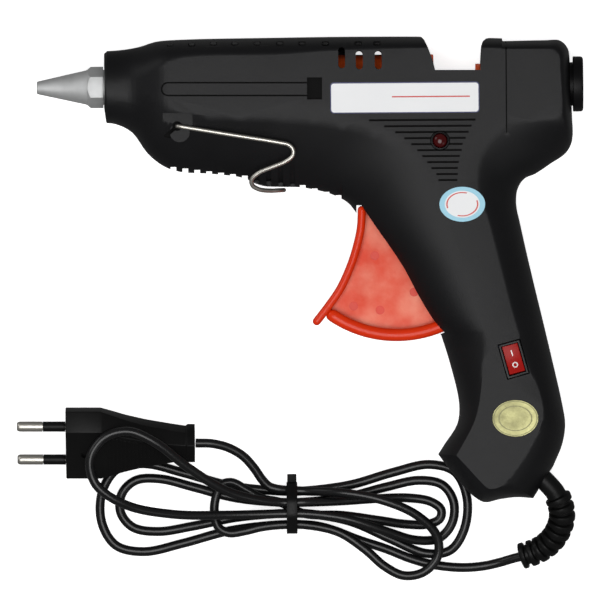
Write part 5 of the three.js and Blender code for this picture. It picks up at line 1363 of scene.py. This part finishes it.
for name, width, height, share in (("seal_rim", 17.2, 13.6, 0.955), ("seal_ring", 13.2, 9.9, 0.93)):
    ring, hole = oval(SEAL_PIXEL, width, height, PRINT_BASE, FILM_TOP, share)
    piece(name, carve(ring, [hole]), gold_dark)


# Strain relief, tie and plug

RELIEF_PIXELS = [
    (527.5, 463.5), (537.5, 473.5), (547, 483), (554.5, 491.5), (559.8, 502.5), (562, 515), (559.5, 527),
    (553, 538.5), (544, 547), (533.5, 552.5), (521, 556.5),
]
RELIEF_HEIGHT_SHARES = [1, 1, 0.9946, 0.973, 0.9081, 0.8, 0.6703, 0.5297, 0.4108, 0.3351, 0.2919]
RELIEF_RIBS = 9
RELIEF_RADIUS = 5.2
RELIEF_ROOT = 3.9
# Shares of the relief's length: the end of its collar, and the start and end of its ribs
RELIEF_COLLAR_END = 0.062
RELIEF_RIBS_FROM = 0.33
RELIEF_RIBS_TO = 0.955
# One rib: share of the pitch, share of the height
RELIEF_RIB = [(0, 0), (0.04, 0.55), (0.1, 0.92), (0.18, 1), (0.56, 1), (0.64, 0.92), (0.7, 0.55), (0.74, 0)]


def walk(line, shares):
    """Points at shares of a line's length."""
    sums = [0]
    for a, b in zip(line, line[1:]):
        sums.append(sums[-1] + (b - a).length)
    found, i = [], 0
    for share in shares:
        wanted = share * sums[-1]
        while i < len(line) - 2 and sums[i + 1] < wanted:
            i += 1
        found.append(line[i].lerp(line[i + 1], (wanted - sums[i]) / max(sums[i + 1] - sums[i], 1e-9)))
    return found


def strain_relief():
    """A tube with a collar, a plain part, ribs and an end, each as stops of length share and radius."""
    path = spline([Vector((*at(*pixel), SURFACE + PANEL * share))
                   for pixel, share in zip(RELIEF_PIXELS, RELIEF_HEIGHT_SHARES)], 24)
    stops = [(0, 5.2), (0.004, 5.5), (0.056, 5.5), (0.06, 5.2), (RELIEF_COLLAR_END, RELIEF_ROOT)]
    plain = RELIEF_RIBS_FROM - RELIEF_COLLAR_END
    stops += [(RELIEF_COLLAR_END + plain * k / 6, RELIEF_ROOT) for k in range(1, 6)]
    pitch = (RELIEF_RIBS_TO - RELIEF_RIBS_FROM) / RELIEF_RIBS
    rise = RELIEF_RADIUS - RELIEF_ROOT
    for i in range(RELIEF_RIBS):
        stops += [(RELIEF_RIBS_FROM + pitch * (i + share), RELIEF_ROOT + rise * height)
                  for share, height in RELIEF_RIB]
    stops += [(0.956, RELIEF_ROOT), (0.96, 4.9), (0.966, RELIEF_RADIUS), (0.99, RELIEF_RADIUS),
              (0.997, 4.9), (1, 4.4)]
    return to_mesh(tube(walk(path, [share for share, _ in stops]), [r for _, r in stops], 40), 40)


TIE_WIDTH = 4.2
TIE_CLEARANCE = 0.9
TIE_TAB = 3.2
TIE_TAB_LEVEL = SURFACE + 6.5


def rounded_loop(points, radius, steps=5):
    """A closed outline with every corner rounded."""
    made = []
    for i, point in enumerate(points):
        before, after = Vector(points[i - 1]), Vector(points[(i + 1) % len(points)])
        corner = Vector(point)
        first, last = (corner + (p - corner).normalized() * radius for p in (before, after))
        for k in range(steps + 1):
            t = k / steps
            made.append(tuple(first * (1 - t) ** 2 + corner * 2 * t * (1 - t) + last * t * t))
    return made


def cord_tie():
    """A flat strap round the waist of the hank, with its end standing off at one side."""
    waist_x, waist_y = at(*WAIST_PIXEL)
    clear = CORD_DIAMETER / 2 + TIE_CLEARANCE
    side = MIDDLE_COLUMN * CORD_PITCH + clear
    top = FIRST_LAYER + 2 * CORD_PITCH + clear
    shoulder = MIDDLE_COLUMN * CORD_PITCH + FIRST_LAYER + CORD_PITCH + clear * sqrt(2)

    def ring(grow, radius):
        total = shoulder + grow * sqrt(2)
        wide, high, low = side + grow, top + grow, TIE_THICKNESS - grow
        points = [(wide, low), (wide, total - wide), (total - high, high),
                  (high - total, high), (-wide, total - wide), (-wide, low)]
        return [(waist_y + y, SURFACE + z) for y, z in rounded_loop(points, radius)]

    half = TIE_WIDTH / 2
    inside = side_slab(ring(0, 1.2), waist_x - half - 1, waist_x + half + 1)
    tab = block(waist_x - half + 0.3, waist_x + half - 0.3, waist_y + side,
                waist_y + side + TIE_THICKNESS + TIE_TAB, TIE_TAB_LEVEL, TIE_TAB_LEVEL + TIE_THICKNESS)
    band = side_slab(ring(TIE_THICKNESS, 2), waist_x - half, waist_x + half)
    return carve(band, [("UNION", tab), inside], 32, 0.18)


PLUG_AXIS_PIXEL = 443
PLUG_HEIGHT = 14.15
PLUG_TURN = radians(46)
PLUG_SIZES = (35.3, 26, 13.7)
PLUG_SECTION_PIXELS = [66, 101, 112, 125, 145, 173, 186, 187, 195]
PLUG_SECTION_SHARES = [
    (1, 1, 1), (1, 1, 1), (0.8782, 0.8846, 0.9781), (0.7365, 0.7308, 0.9489), (0.5524, 0.5577, 0.9051),
    (0.3853, 0.3846, 0.8467), (0.3286, 0.3269, 0.8029), (0.3541, 0.3615, 0.8759), (0.3541, 0.3615, 0.8759),
]
PIN_SPACING = 18.6
PIN_HOLE_RADIUS = 1.55
PIN_HOLE_LENGTH = 12.6
# The finger ribs: count, and first, pitch and length in pixels
PLUG_RIBS = 15
PLUG_RIB_FIRST = 108.5
PLUG_RIB_PITCH = 3.9
PLUG_RIB_LENGTH = 1.9
DIMPLE_PIXEL = 86


def plug_place(u, across, over):
    """A place in the plug: along it, across its width and over its flat side."""
    x, y, z = lying(u, PLUG_AXIS_PIXEL, PLUG_HEIGHT)
    return Vector((x, y + across * cos(PLUG_TURN) - over * sin(PLUG_TURN),
                   z + across * sin(PLUG_TURN) + over * cos(PLUG_TURN)))


def pin_place(side):
    """Where a pin leaves the plug's face."""
    face = plug_place(PLUG_SECTION_PIXELS[0], side * PIN_SPACING / 2, 0)
    return Matrix.Translation(face) @ Matrix.Rotation(-PICTURE_TURN, 4, "Z")


def plug_sizes(u):
    """Half width, half width of the flat sides and half thickness at a pixel along the plug."""
    for i in range(len(PLUG_SECTION_PIXELS) - 1):
        a, b = PLUG_SECTION_PIXELS[i:i + 2]
        if u <= b:
            t = (u - a) / (b - a)
            pair = zip(PLUG_SECTION_SHARES[i], PLUG_SECTION_SHARES[i + 1], PLUG_SIZES)
            return [(p + (q - p) * t) * size / 2 for p, q, size in pair]
    return [share * size / 2 for share, size in zip(PLUG_SECTION_SHARES[-1], PLUG_SIZES)]


def plug_body():
    """A six-sided body that narrows to the cord, with finger ribs, a dimple and two pin holes."""
    rings = []
    for u in (*PLUG_SECTION_PIXELS[:2], *range(103, 185, 4), *PLUG_SECTION_PIXELS[-3:]):
        w, f, t = plug_sizes(u)
        rings.append([plug_place(u, a, o) for a, o in ((w, 0), (f, t), (-f, t), (-w, 0), (-f, -t), (f, -t))])
    body = soften(lofted(rings), 0.8, 35, 3)
    ribs = bmesh.new()
    for k in range(PLUG_RIBS):
        u = PLUG_RIB_FIRST + PLUG_RIB_PITCH * k
        for side in (-1, 1):
            ends = []
            for u_end in (u, u + PLUG_RIB_LENGTH):
                _, f, t = plug_sizes(u_end)
                ends.append([plug_place(u_end, a, side * o) for a, o in (
                    (0.9 * f, t - 0.5), (0.84 * f, t + 0.32), (-0.84 * f, t + 0.32), (-0.9 * f, t - 0.5))])
            lofted(ends, ribs)
    _, _, t = plug_sizes(DIMPLE_PIXEL)
    middle = plug_place(DIMPLE_PIXEL, 0.4, t)
    dimple = bar(1.9, 1.6, facing(middle, plug_place(DIMPLE_PIXEL, 0.4, t + 1) - middle), 40)
    holes = bmesh.new()
    for side in (-1, 1):
        bar(PIN_HOLE_RADIUS, PIN_HOLE_LENGTH, pin_place(side) @ ALONG_X, 32, holes)
    return carve(body, [("UNION", ribs), dimple, holes])


def plug_turned(profile, side):
    """A turned piece on one of the plug's two pin axes."""
    return to_mesh(moved(turned(profile, 48), pin_place(side)))


piece("strain_relief_finished", strain_relief(), moulded_pvc, "strain_relief")
piece("cord_tie_finished", cord_tie(), moulded_pvc, "cord_tie")
plug_pieces = [piece("plug_body_finished", plug_body(), moulded_pvc, "plug_body")]
for number, side in ((1, 1), (2, -1)):
    plug_pieces.append(piece(f"plug_pin_{number}_finished", plug_turned([
        (-19, 0), (-19, 1.3), (-18.8, 1.6), (-18.3, 1.9), (-17.8, 2), (-9, 2), (-9, 1.4), (6, 1.4),
        (6, 0)], side),
        nickel, f"plug_pin_{number}"))
    plug_pieces.append(piece(f"plug_sleeve_{number}_finished", plug_turned([
        (-8.85, 1.55), (-8.85, 2), (-0.15, 2), (-0.15, 1.55), (-8.85, 1.55)], side),
        moulded_pvc, f"plug_pin_sleeve_{number}"))

# The cord's first point and its length

tuple(cord_line[0])
length_of(cord_line)
